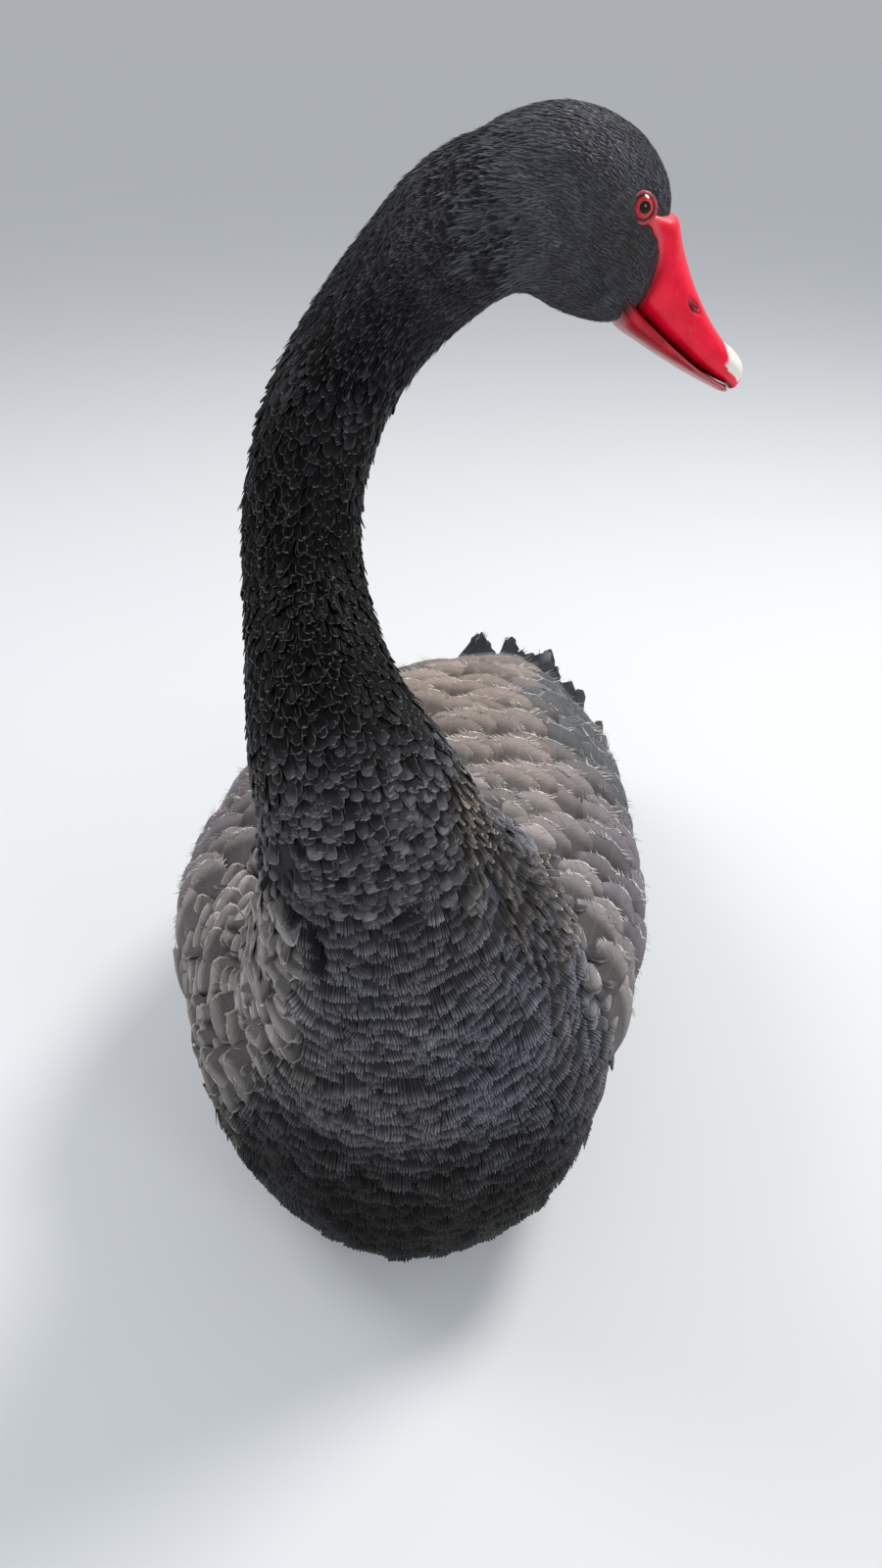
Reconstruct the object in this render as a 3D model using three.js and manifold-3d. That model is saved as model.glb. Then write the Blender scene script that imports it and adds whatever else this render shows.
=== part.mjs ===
// Life-size model of a black swan afloat, neck raised and head turned to its left.
// Millimetres, +Z up, breast towards -Y, the swan's left side towards +X.
// The origin is the middle of the flat on the belly, which the model rests on.

import * as THREE from 'three';
import { mergeVertices } from 'three/addons/utils/BufferGeometryUtils.js';
import Module from 'manifold-3d';

const wasm = await Module();
wasm.setup();

// Driving dimensions of the whole bird
const GAP = 0.3;
const BREAST_TIP = -250;
const BODY_REAR = 250;
const RUMP_REAR = 286;
const TAIL_TIP = 340;
const BODY_SEGMENTS = 32;
const NECK_SEGMENTS = 18;
const HEAD_SEGMENTS = 20;
const SEED = 7;
// Random draws follow this rule: multiply, then keep the remainder
const DRAW = { factor: 16807, modulus: 2147483647 };

// The body's shape, one line for each station along it: distance along Y, half width,
// rise above the widest line, depth below it, height of the widest line, sideways offset
const BODY_STATIONS = [
  [-250, 0, 0, 0, 96, 13],
  [-236, 54, 54, 62, 97, 12],
  [-205, 102, 82, 104, 112, 9],
  [-165, 124, 93, 132, 127, 3],
  [-110, 138, 89, 150, 141, -5],
  [-40, 142, 86, 158, 150, -8],
  [40, 129, 79, 158, 151, -11],
  [120, 108, 68, 124, 147, -9],
  [200, 79, 55, 72, 132, -5],
  [260, 54, 44, 28, 118, -1],
  [340, 34, 12, 8, 106, 3],
];

// Where rings are set along the body: close together at the breast, then evenly, then the rump
const BREAST_PLACES = [-249.4, -246.5, -241, -232, -219, -203, -184];
const BACK_PLACES = { first: -160, last: 230, step: 34 };
const RUMP_PLACES = [268, 310];

// The neck's route from inside the breast to inside the head: x, y, z and radius
const NECK_ROUTE = [
  [12, -138, 120, 92],
  [13, -150, 170, 98],
  [13, -163, 212, 88],
  [12, -181, 246, 74],
  [10, -196, 282, 60.5],
  [4, -202, 320, 51.5],
  [-8, -200, 354, 42],
  [-19, -187, 385, 33],
  [-29, -166, 415, 28.5],
  [-31, -154, 445, 27.5],
  [-23, -149, 478, 27],
  [-8, -139, 508, 27],
  [16, -138, 536, 28.5],
  [45, -150, 560, 31],
  [72, -147, 565, 30],
];
// Where the neck is parted, as shares of its route
const NECK_CUTS = { base: 0.375, lower: 0.545, middle: 0.7, upper: 0.865 };
const NECK_RINGS = { base: 7, length: 5, nape: 4 };

// The head's own frame: F points along the bill, L to the swan's left and U to the crown
const HEAD_ORIGIN = new THREE.Vector3(103, -135.7, 542.7);
const HEAD_FORWARD = new THREE.Vector3(0.741, 0.253, -0.622);
const HEAD_UP = new THREE.Vector3(0.526, 0.357, 0.772);

// Sections of the head along F: distance, top, bottom and half width
const HEAD_SECTIONS = [
  [12, -15, -19.5, 6],
  [7, 2, -21.5, 10],
  [0, 23, -25.5, 14.5],
  [-6, 31.5, -28.5, 18],
  [-16, 36.5, -31.5, 21.5],
  [-28, 38.5, -33, 24.5],
  [-41, 36.5, -33, 25.5],
  [-54, 31, -29, 24],
  [-64, 23, -23, 20],
  [-72, 12, -15, 13],
];
const HEAD_BACK = [-76.5, -2];

// The bill: distance, top, bottom and half width of both halves
const UPPER_BILL_SECTIONS = [
  [-13, 17.5, 6, 18.6],
  [-5, 21.5, -3, 17.3],
  [1, 24.5, -8, 16],
  [10, 19.5, -10.6, 14.6],
  [18, 14.8, -11.3, 13.3],
  [28, 10, -11.8, 12.2],
  [39, 5.8, -12, 11.6],
  [48, 3.4, -11.6, 11],
  [56, 2.3, -10, 9.4],
  [62, 0.8, -8.6, 6.6],
  [65.5, -2.2, -8.6, 3.4],
];
const BILL_TIP = [67, -6.5];
const LOWER_BILL_SECTIONS = [
  [3, -9.5, -17.5, 13.4],
  [10, -10.9, -19.3, 13],
  [22, -11.9, -18.4, 11.6],
  [34, -12.3, -16.9, 10.6],
  [46, -12.1, -15, 9.4],
  [56, -10.4, -13.2, 7.4],
  [62, -9, -12, 4.6],
];
const LOWER_TIP = [65, -10.2];
const BILL_SQUARENESS = 0.9;
const NOSTRIL = { f: 27, side: 11.6, u: 2.6, length: 8.5, height: 3, depth: 3.2 };
const NAIL = { f: 58.5, u: 1.2, length: 8.5, width: 6.2, height: 1.9 };

// Eyes and their lids
const EYE = { f: -16, side: 15.3, u: 13.8, radius: 6.8 };
const LID = { radius: 5.9, thickness: 1.5, rise: 3.4 };

// Wings: the folded shell over each flank, in angles up from the widest line
const WING = {
  front: -152,
  topSetback: 96,
  lowRear: 158,
  highRear: 212,
  lowAngle: -10,
  highAngle: 86,
  depth: 11,
  edgeDepth: 4.5,
  clearance: 8,
  rows: 8,
  columns: 6,
};
// Tiers of covert and scapular vanes, from the shoulder back
const COVERTS = {
  tiers: 6,
  inTier: 5,
  firstRoot: 9,
  lowLastRoot: 76,
  highLastRoot: 134,
  lowAngle: 4,
  highAngle: 84,
  frontHalf: 16,
  rearHalf: 19,
  reach: 1.8,
  rise: 9.7,
  tilt: 1.1,
  turn: 2,
  shape: [[0, 0.5], [0.62, 1], [1, 0.5]],
};
// Half width of a flight feather along its length, as shares of its widest
const FLIGHT_SHAPE = [[0, 0.5], [0.35, 1], [0.75, 0.85], [1, 0.25]];
// Ragged tertials and secondaries, from the innermost at the back down to the outermost
const TERTIALS = {
  count: 7,
  highRoot: 152,
  lowRoot: 100,
  highAngle: 82,
  lowAngle: 8,
  highLength: 142,
  lowLength: 78,
  half: 17,
  rise: 8.6,
  tilt: 1.9,
  highCurl: 17,
  lowCurl: 10,
};
// Primaries, folded under them and crossing the rump on each side
const PRIMARIES = {
  count: 4,
  root: 168,
  angle: 14,
  rootStep: 9,
  tipAngle: 36,
  tipStep: 7.2,
  length: 154,
  shorter: 5,
  half: 11,
  rise: 5.4,
  climb: 0.3,
  tilt: 1.7,
};
// Each vane's root sinks in, its shaft stands up as a crown, and none crosses the midline
const VANE = { sink: 2.4, thick: 0.8, crown: 0.5, midline: 89.8 };
// How far one feather differs from the next in place, angle, length and curl
const VARIETY = { place: 1.5, angle: 1.2, length: 0.04, tip: 5, curl: 0.25 };

// Tail: a tapered rump, the fan of tail feathers and the coverts over their roots
const TAIL = {
  eachSide: 6,
  root: 276,
  rootSide: 2.5,
  rootSpacing: 3.6,
  tip: 344,
  tipSpacing: 8.6,
  roundness: 0.9,
  rootHeight: 121,
  tipHeight: 113,
  step: 2.2,
  half: 10,
};
const TAIL_COVERTS = { count: 3, y: 257, root: 36, tip: 22, length: 50, half: 14, rise: -2, tilt: 1.2 };
// The rump's rings inside the fan: place along Y and lift off the body's own shape
const RUMP_TAPERS = [[BODY_REAR + GAP, 0], [268, 0], [284, -3], [299, -9], [312, -15]];

// Legs: tucked under the flanks with the webs flat on the floor
const LEG = { middle: -10, side: 66, ankle: 104, toes: 2, shank: 6, sides: 10 };
// The tarsus: distance from the toes, or from the ankle, then height and radius in shanks
const TARSUS_FRONT = [[-4, 0.64, 0.8], [14, 0.8, 0.95]];
const TARSUS_REAR = [[-28, 0.8, 0.9], [-8, 0.8, 1.05], [0, 0.96, 1.45], [8, 1.04, 1.1], [12, 1.12, 0.5]];
// The drumstick up into the belly: inward step, distance from the ankle, height and radius
const DRUMSTICK = [[0, 6, 0.8, 0.8], [0, 0, 1.44, 1.4], [2, -16, 4.6, 2.1], [4, -36, 8.3, 3]];
const WEB = {
  root: 5,
  length: 78,
  rootHalf: 4.2,
  spread: 27,
  thick: 1.6,
  toe: 3.4,
  toeTaper: 0.6,
  scallop: 7,
  rows: [0, 0.3, 0.65, 1],
};

const finishes = {
  body: plumage(0x24211f),
  neck: plumage(0x1b1a1b),
  head: plumage(0x1c1d20),
  wing: plumage(0x5d544d),
  tail: plumage(0x191b1f),
  bill: new THREE.MeshStandardMaterial({ color: 0xd3122a, roughness: 0.38, metalness: 0 }),
  lowerBill: new THREE.MeshStandardMaterial({ color: 0xb31527, roughness: 0.42, metalness: 0 }),
  eye: new THREE.MeshStandardMaterial({ color: 0xc8202b, roughness: 0.08, metalness: 0 }),
  leg: new THREE.MeshStandardMaterial({ color: 0x2b2a2c, roughness: 0.6, metalness: 0 }),
};

const swan = new THREE.Group();

function plumage(color) {
  return new THREE.MeshStandardMaterial({ color, roughness: 0.85, metalness: 0 });
}

function point(x, y, z) {
  return new THREE.Vector3(x, y, z);
}

// Smooth curve through rows whose first number is the place along it
function smoothRows(rows) {
  const places = rows.map((row) => row[0]);
  const size = rows[0].length - 1;
  const values = rows.flatMap((row) => row.slice(1));
  const curve = new THREE.CubicInterpolant(places, values, size);
  return (place) => Array.from(curve.evaluate(THREE.MathUtils.clamp(place, places[0], places.at(-1))));
}

// Half width and heights are kept as squares, so that the breast closes in a round end
const bodyCurve = smoothRows(
  BODY_STATIONS.map(([y, wide, rise, depth, middle, offset]) => [
    y, wide ** 2, rise ** 2, depth ** 2, middle, offset,
  ]),
);

function bodySection(y) {
  const [wide, rise, depth, middle, offset] = bodyCurve(y);
  return {
    wide: Math.sqrt(Math.max(wide, 0)),
    rise: Math.sqrt(Math.max(rise, 0)),
    depth: Math.sqrt(Math.max(depth, 0)),
    middle,
    offset,
  };
}

// Point on the body's outer surface, angle in degrees up from the widest line on the left
function bodySurface(y, degrees) {
  const section = bodySection(y);
  const angle = THREE.MathUtils.degToRad(degrees);
  const height = Math.sin(angle) > 0 ? section.rise : section.depth;
  return point(
    section.offset + section.wide * Math.cos(angle),
    y,
    section.middle + height * Math.sin(angle),
  );
}

function bodyNormal(y, degrees) {
  const along = bodySurface(y + 1, degrees).sub(bodySurface(y - 1, degrees));
  const around = bodySurface(y, degrees + 1).sub(bodySurface(y, degrees - 1));
  return along.cross(around).normalize();
}

// The same surface raised by a lift, and never below the floor
function bodyPoint(y, degrees, lift = 0) {
  const place = bodySurface(y, degrees);
  if (lift !== 0) {
    place.addScaledVector(bodyNormal(y, degrees), lift);
  }
  place.z = Math.max(place.z, 0);
  return place;
}

// Closed mesh from points and triangles, turned so that its faces point out
function closedMesh(points, triangles) {
  let volume = 0;
  for (const [a, b, c] of triangles) {
    volume += points[a].dot(points[b].clone().cross(points[c]));
  }
  const faces = volume < 0 ? triangles.map(([a, b, c]) => [a, c, b]) : triangles;
  const geometry = new THREE.BufferGeometry();
  geometry.setAttribute('position', new THREE.Float32BufferAttribute(points.flatMap((p) => p.toArray()), 3));
  geometry.setIndex(faces.flat());
  return geometry;
}

// Solid through rings of equal counts; each end is closed at a point or across the ring
function ringSolid(rings, startPoint = null, endPoint = null) {
  const count = rings[0].length;
  const points = rings.flat();
  const triangles = [];
  for (let row = 0; row < rings.length - 1; row += 1) {
    for (let i = 0; i < count; i += 1) {
      const a = row * count + i;
      const b = row * count + ((i + 1) % count);
      triangles.push([a, b, a + count], [b, b + count, a + count]);
    }
  }
  closeRing(points, triangles, 0, count, startPoint ?? centreOf(rings[0]), true);
  closeRing(points, triangles, (rings.length - 1) * count, count, endPoint ?? centreOf(rings.at(-1)), false);
  return closedMesh(points, triangles);
}

function closeRing(points, triangles, first, count, centre, flipped) {
  const middle = points.push(centre) - 1;
  for (let i = 0; i < count; i += 1) {
    const a = first + i;
    const b = first + ((i + 1) % count);
    triangles.push(flipped ? [b, a, middle] : [a, b, middle]);
  }
}

function centreOf(ring) {
  return ring.reduce((sum, p) => sum.add(p), point(0, 0, 0)).divideScalar(ring.length);
}

// Slab between two grids of points, split into triangles alike on both faces
function slabSolid(outer, inner) {
  const rows = outer.length;
  const columns = outer[0].length;
  const points = [...outer.flat(), ...inner.flat()];
  const under = rows * columns;
  const at = (row, column) => row * columns + column;
  const triangles = [];
  for (let row = 0; row < rows - 1; row += 1) {
    for (let column = 0; column < columns - 1; column += 1) {
      const a = at(row, column);
      const b = at(row, column + 1);
      const c = at(row + 1, column);
      const d = at(row + 1, column + 1);
      triangles.push([a, b, c], [b, d, c]);
      triangles.push([under + a, under + c, under + b], [under + b, under + c, under + d]);
    }
  }
  const border = [];
  for (let column = 0; column < columns - 1; column += 1) border.push(at(0, column));
  for (let row = 0; row < rows - 1; row += 1) border.push(at(row, columns - 1));
  for (let column = columns - 1; column > 0; column -= 1) border.push(at(rows - 1, column));
  for (let row = rows - 1; row > 0; row -= 1) border.push(at(row, 0));
  border.forEach((a, i) => {
    const b = border[(i + 1) % border.length];
    triangles.push([a, under + a, b], [b, under + a, under + b]);
  });
  return closedMesh(points, triangles);
}

function toSolid(geometry) {
  const bare = geometry.clone();
  bare.deleteAttribute('normal');
  bare.deleteAttribute('uv');
  const merged = mergeVertices(bare, 1e-4);
  return new wasm.Manifold(
    new wasm.Mesh({
      numProp: 3,
      vertProperties: new Float32Array(merged.attributes.position.array),
      triVerts: new Uint32Array(merged.index.array),
    }),
  );
}

// Only the largest closed surface is kept, which fills sealed hollows and drops scraps
function keepLargest(solid) {
  const pieces = solid.decompose();
  return pieces.reduce((best, piece) => (piece.volume() > best.volume() ? piece : best));
}

function toGeometry(solid) {
  const mesh = keepLargest(solid).getMesh();
  const geometry = new THREE.BufferGeometry();
  geometry.setAttribute('position', new THREE.Float32BufferAttribute(mesh.vertProperties, 3));
  geometry.setIndex(Array.from(mesh.triVerts));
  return geometry;
}

function place(name, solid, material) {
  const mesh = new THREE.Mesh(toGeometry(solid), material);
  mesh.name = name;
  swan.add(mesh);
}

// Torso
function bodyPlaces(from, to) {
  const places = [...BREAST_PLACES];
  for (let y = BACK_PLACES.first; y < BACK_PLACES.last; y += BACK_PLACES.step) places.push(y);
  places.push(BODY_REAR, RUMP_REAR, ...RUMP_PLACES);
  places.sort((a, b) => a - b);
  return [from, ...places.filter((y) => y > from + 1 && y < to - 1), to];
}

// The body between two places along it; from the breast's tip it starts at a point
function bodySolid(lift, from, to) {
  const wholeBreast = from <= BREAST_TIP;
  const rings = bodyPlaces(wholeBreast ? BREAST_TIP + 0.6 : from, to).map((y) =>
    Array.from({ length: BODY_SEGMENTS }, (_, i) => bodyPoint(y, (i * 360) / BODY_SEGMENTS, lift)),
  );
  const nose = bodySurface(BREAST_TIP, 0);
  nose.y -= lift;
  return toSolid(ringSolid(rings, wholeBreast ? nose : null));
}

// Neck
const neckCurve = new THREE.CatmullRomCurve3(
  NECK_ROUTE.map(([x, y, z]) => point(x, y, z)),
  false,
  'centripetal',
);
const neckRadii = smoothRows(NECK_ROUTE.map((stop, i) => [i / (NECK_ROUTE.length - 1), stop[3]]));

// Rings across the neck between two shares of its route; swell widens them
function neckRings(from, to, count, swell = 0) {
  const rings = [];
  let side = point(1, 0, 0);
  for (let i = 0; i <= count; i += 1) {
    const share = from + ((to - from) * i) / count;
    const centre = neckCurve.getPoint(share);
    const along = neckCurve.getTangent(share);
    side = side.clone().addScaledVector(along, -side.dot(along)).normalize();
    const front = along.clone().cross(side);
    const radius = neckRadii(share)[0] + swell;
    rings.push(
      Array.from({ length: NECK_SEGMENTS }, (_, k) => {
        const angle = (k * 2 * Math.PI) / NECK_SEGMENTS;
        return centre
          .clone()
          .addScaledVector(side, radius * Math.cos(angle))
          .addScaledVector(front, radius * Math.sin(angle));
      }),
    );
  }
  return rings;
}

function neckSolid(from, to, count, swell = 0) {
  return toSolid(ringSolid(neckRings(from, to, count, swell)));
}

// A share of the neck's route that lies a distance further along it
function neckShareAfter(share, distance) {
  const speed = neckCurve.getPoint(share + 0.001).distanceTo(neckCurve.getPoint(share)) / 0.001;
  return share + distance / speed;
}

// Head
const headMatrix = headFrame();

function headFrame() {
  const forward = HEAD_FORWARD.clone().normalize();
  const up = HEAD_UP.clone().addScaledVector(forward, -HEAD_UP.dot(forward)).normalize();
  const left = up.clone().cross(forward);
  return new THREE.Matrix4().makeBasis(forward, left, up).setPosition(HEAD_ORIGIN);
}

// Rings in the head's frame, squarer where the exponent is under 1
function headRings(sections, squareness, swell = 0) {
  return sections.map(([f, top, bottom, half]) => {
    const middle = (top + bottom) / 2;
    const tall = (top - bottom) / 2 + swell;
    return Array.from({ length: HEAD_SEGMENTS }, (_, i) => {
      const angle = (i * 2 * Math.PI) / HEAD_SEGMENTS;
      const across = Math.sign(Math.cos(angle)) * Math.abs(Math.cos(angle)) ** squareness;
      const height = Math.sign(Math.sin(angle)) * Math.abs(Math.sin(angle)) ** squareness;
      return point(f, (half + swell) * across, middle + tall * height);
    });
  });
}

function headLoft(sections, tip, squareness, swell = 0) {
  const end = point(tip[0] + Math.sign(tip[0]) * swell, 0, tip[1]);
  const geometry = ringSolid(headRings(sections, squareness, swell), null, end);
  return toSolid(geometry.applyMatrix4(headMatrix));
}

// Ball or flattened ball in the head's frame
function headBall(f, side, u, radii, detail = 12) {
  const geometry = new THREE.SphereGeometry(1, detail, detail / 2);
  geometry.scale(...radii).translate(f, side, u);
  return toSolid(geometry.applyMatrix4(headMatrix));
}

function upperBillSolid(swell = 0) {
  const nail = headBall(NAIL.f, 0, NAIL.u - NAIL.height / 2, [NAIL.length, NAIL.width, NAIL.height]);
  return headLoft(UPPER_BILL_SECTIONS, BILL_TIP, BILL_SQUARENESS, swell).add(nail);
}

function lowerBillSolid(swell = 0) {
  return headLoft(LOWER_BILL_SECTIONS, LOWER_TIP, BILL_SQUARENESS, swell);
}

function nostrilPits() {
  const size = [NOSTRIL.length / 2, NOSTRIL.depth, NOSTRIL.height / 2];
  const pit = (way) => headBall(NOSTRIL.f, way * NOSTRIL.side, NOSTRIL.u, size, 10);
  return pit(-1).add(pit(1));
}

function lidRing(way) {
  const geometry = new THREE.TorusGeometry(LID.radius, LID.thickness, 5, 16);
  geometry.rotateX(Math.PI / 2).translate(EYE.f, way * (EYE.side + LID.rise), EYE.u);
  return toSolid(geometry.applyMatrix4(headMatrix));
}

function eyeSolid(way, swell = 0) {
  const radius = EYE.radius + swell;
  return headBall(EYE.f, way * EYE.side, EYE.u, [radius, radius, radius], 16);
}

function eyeRoom() {
  return eyeSolid(-1, GAP).add(eyeSolid(1, GAP));
}

function headSolid(neckFrom) {
  const skull = headLoft(HEAD_SECTIONS, HEAD_BACK, 1);
  const nape = neckSolid(neckFrom, 1, NECK_RINGS.nape);
  const head = wasm.Manifold.union([skull, nape, lidRing(-1), lidRing(1)]);
  return head.subtract(upperBillSolid(GAP)).subtract(lowerBillSolid(GAP)).subtract(eyeRoom());
}

// Wings
// The shell's front and rear edges, both further back the higher they are on the body
function wingFront(up) {
  return WING.front + WING.topSetback * up ** 1.6;
}

function wingRear(up) {
  return THREE.MathUtils.lerp(WING.lowRear, WING.highRear, up);
}

function wingGrid(way, lift, edgeLift, margin) {
  const grid = [];
  for (let row = 0; row <= WING.rows; row += 1) {
    const along = row / WING.rows;
    const line = [];
    for (let column = 0; column <= WING.columns; column += 1) {
      const up = column / WING.columns;
      const y = THREE.MathUtils.lerp(wingFront(up) - margin, wingRear(up) + margin, along);
      const spread = THREE.MathUtils.radToDeg(margin / bodySection(y).wide);
      const angle = THREE.MathUtils.lerp(WING.lowAngle - spread, WING.highAngle + spread, up);
      const edge = Math.min(along, 1 - along, up, 1 - up) < 0.01;
      line.push(bodyPoint(y, way > 0 ? angle : 180 - angle, edge ? edgeLift : lift));
    }
    grid.push(line);
  }
  return grid;
}

function wingShell(way) {
  return toSolid(slabSolid(wingGrid(way, 0, 0, 0), wingGrid(way, -WING.depth, -WING.edgeDepth, 0)));
}

// The room in the torso that holds a wing, a margin wider than the wing all round
function wingRoom(way, margin) {
  const outer = wingGrid(way, WING.clearance, WING.clearance, margin);
  return toSolid(slabSolid(outer, wingGrid(way, -WING.depth - margin, -WING.edgeDepth - margin, margin)));
}

// Small seeded differences from one feather to the next, between -1 and 1
let draw = SEED;
function vary() {
  draw = (draw * DRAW.factor) % DRAW.modulus;
  return (draw / DRAW.modulus) * 2 - 1;
}

// Thin slab over rows of three points, edge, shaft and edge
function vaneSolid(rows, thick) {
  const offsets = rows.map((row, i) => {
    const before = rows[Math.max(i - 1, 0)][1];
    const after = rows[Math.min(i + 1, rows.length - 1)][1];
    const along = after.clone().sub(before);
    return row[2].clone().sub(row[0]).cross(along).normalize().multiplyScalar(thick / 2);
  });
  const layer = (way) => rows.map((row, i) => row.map((p) => p.clone().addScaledVector(offsets[i], way)));
  return toSolid(slabSolid(layer(1), layer(-1)));
}

function degreesPerMillimetre(y, angle) {
  return 1 / bodySurface(y, angle + 0.5).distanceTo(bodySurface(y, angle - 0.5));
}

// Vane that lies along the body: rooted at a place and angle, it runs back to a tip angle,
// climbs off the body, tilts over its lower neighbour and may curl up at the end
function bodyVane({ way, y, angle, tipAngle, length, half, shape, rise, tilt, climb = 1, curl = 0 }) {
  const rows = shape.map(([share, width]) => {
    const place = y + length * share;
    const middle = THREE.MathUtils.lerp(angle, tipAngle, share);
    const spread = half * width * degreesPerMillimetre(place, middle);
    const height = rise * Math.min(share / climb, 1) + curl * share ** 3 - VANE.sink;
    return [-1, 0, 1].map((across) => {
      const turned = Math.min(middle - across * spread, VANE.midline);
      const leaning = tilt * across * Math.min(share * 3, 1) * width;
      const lift = height + leaning + VANE.crown * (1 - Math.abs(across));
      return bodyPoint(place, way > 0 ? turned : 180 - turned, lift);
    });
  });
  return vaneSolid(rows, VANE.thick);
}

function covertVanes(way) {
  const { lerp } = THREE.MathUtils;
  const vanes = [];
  const last = COVERTS.inTier - 1;
  for (let tier = 0; tier < COVERTS.tiers; tier += 1) {
    const back = tier / (COVERTS.tiers - 1);
    const stagger = 0.5 * (tier % 2);
    for (let i = 0; i < COVERTS.inTier; i += 1) {
      const up = (i + stagger) / (last + stagger);
      const angle = lerp(COVERTS.lowAngle, COVERTS.highAngle, up) + VARIETY.angle * vary();
      const front = wingFront(up) + COVERTS.firstRoot;
      const rear = lerp(COVERTS.lowLastRoot, COVERTS.highLastRoot, up);
      const spacing = (rear - front) / (COVERTS.tiers - 1);
      vanes.push(
        bodyVane({
          way,
          y: front + spacing * tier + VARIETY.place * vary(),
          angle,
          tipAngle: angle + COVERTS.turn * back,
          length: spacing * COVERTS.reach * (1 + VARIETY.length * vary()),
          half: lerp(COVERTS.frontHalf, COVERTS.rearHalf, back),
          shape: COVERTS.shape,
          rise: COVERTS.rise,
          tilt: COVERTS.tilt,
        }),
      );
    }
  }
  return vanes;
}

function tertialVanes(way) {
  const { lerp } = THREE.MathUtils;
  return Array.from({ length: TERTIALS.count }, (_, i) => {
    const down = i / (TERTIALS.count - 1);
    const angle = lerp(TERTIALS.highAngle, TERTIALS.lowAngle, down);
    return bodyVane({
      way,
      y: lerp(TERTIALS.highRoot, TERTIALS.lowRoot, down),
      angle,
      tipAngle: angle + VARIETY.tip * vary(),
      length: lerp(TERTIALS.highLength, TERTIALS.lowLength, down) * (1 + VARIETY.length * vary()),
      half: TERTIALS.half,
      shape: FLIGHT_SHAPE,
      rise: TERTIALS.rise,
      tilt: TERTIALS.tilt,
      curl: lerp(TERTIALS.highCurl, TERTIALS.lowCurl, down) * (1 + VARIETY.curl * vary()),
    });
  });
}

function primaryVanes(way) {
  return Array.from({ length: PRIMARIES.count }, (_, i) => {
    const above = PRIMARIES.count - 1 - i;
    return bodyVane({
      way,
      y: PRIMARIES.root,
      angle: PRIMARIES.angle + PRIMARIES.rootStep * above,
      tipAngle: PRIMARIES.tipAngle + PRIMARIES.tipStep * above,
      length: PRIMARIES.length - PRIMARIES.shorter * above,
      half: PRIMARIES.half,
      shape: FLIGHT_SHAPE,
      rise: PRIMARIES.rise,
      tilt: PRIMARIES.tilt,
      climb: PRIMARIES.climb,
    });
  });
}

// Shell and vanes, with the vanes cut clear of the body outside the wing's own room
function wingSolid(way) {
  const vanes = wasm.Manifold.union([...covertVanes(way), ...tertialVanes(way), ...primaryVanes(way)]);
  return wingShell(way).add(vanes.subtract(bodyRoom.subtract(wingRoom(way, 0)))).subtract(neckRoom);
}

// Tail
function rumpSolid() {
  const rings = RUMP_TAPERS.map(([y, lift]) =>
    Array.from({ length: BODY_SEGMENTS }, (_, i) => bodyPoint(y, (i * 360) / BODY_SEGMENTS, lift)),
  );
  return toSolid(ringSolid(rings));
}

// One tail feather, straight from its root to its tip, each lower than the one inside it
function tailVane(way, i) {
  const drop = TAIL.step * (i + (way > 0 ? 0 : 0.5));
  const middle = bodySection(TAIL_TIP).offset;
  const rootSide = TAIL.rootSide + TAIL.rootSpacing * i;
  const root = point(middle + way * rootSide, TAIL.root, TAIL.rootHeight - drop);
  const tip = point(
    middle + way * (TAIL.rootSide * 2 + TAIL.tipSpacing * i),
    TAIL.tip - TAIL.roundness * i ** 2,
    TAIL.tipHeight - drop,
  );
  const side = point(1, 0, 0);
  const rows = FLIGHT_SHAPE.map(([share, width]) => {
    const shaft = root.clone().lerp(tip, share);
    const half = TAIL.half * width;
    return [-1, 0, 1].map((across) =>
      shaft
        .clone()
        .addScaledVector(side, across * half)
        .add(point(0, 0, VANE.crown * (1 - Math.abs(across)))),
    );
  });
  return vaneSolid(rows, VANE.thick);
}

function tailCovert(i) {
  const across = (i / (TAIL_COVERTS.count - 1)) * 2 - 1;
  return bodyVane({
    way: 1,
    y: TAIL_COVERTS.y,
    angle: 90 - TAIL_COVERTS.root * across,
    tipAngle: 90 - TAIL_COVERTS.tip * across,
    length: TAIL_COVERTS.length,
    half: TAIL_COVERTS.half,
    shape: COVERTS.shape,
    rise: TAIL_COVERTS.rise,
    tilt: TAIL_COVERTS.tilt,
  });
}

function tailSolid() {
  const vanes = [];
  for (let i = 0; i < TAIL.eachSide; i += 1) {
    vanes.push(tailVane(1, i), tailVane(-1, i));
  }
  for (let i = 0; i < TAIL_COVERTS.count; i += 1) {
    vanes.push(tailCovert(i));
  }
  return wasm.Manifold.union([rumpSolid(), ...vanes]);
}

// Legs
// Round limb through stops of x, y, z and radius, pressed flat where it meets the floor
function limbSolid(stops, sides) {
  const centres = stops.map(([x, y, z]) => point(x, y, z));
  const rings = stops.map(([, , , radius], i) => {
    const before = centres[Math.max(i - 1, 0)];
    const after = centres[Math.min(i + 1, centres.length - 1)];
    const along = after.clone().sub(before).normalize();
    const side = point(1, 0, 0).addScaledVector(along, -along.x).normalize();
    const rise = along.clone().cross(side);
    return Array.from({ length: sides }, (_, k) => {
      const angle = (k * 2 * Math.PI) / sides;
      const rim = centres[i].clone();
      rim.addScaledVector(side, radius * Math.cos(angle)).addScaledVector(rise, radius * Math.sin(angle));
      rim.z = Math.max(rim.z, 0);
      return rim;
    });
  });
  return toSolid(ringSolid(rings));
}

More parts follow.
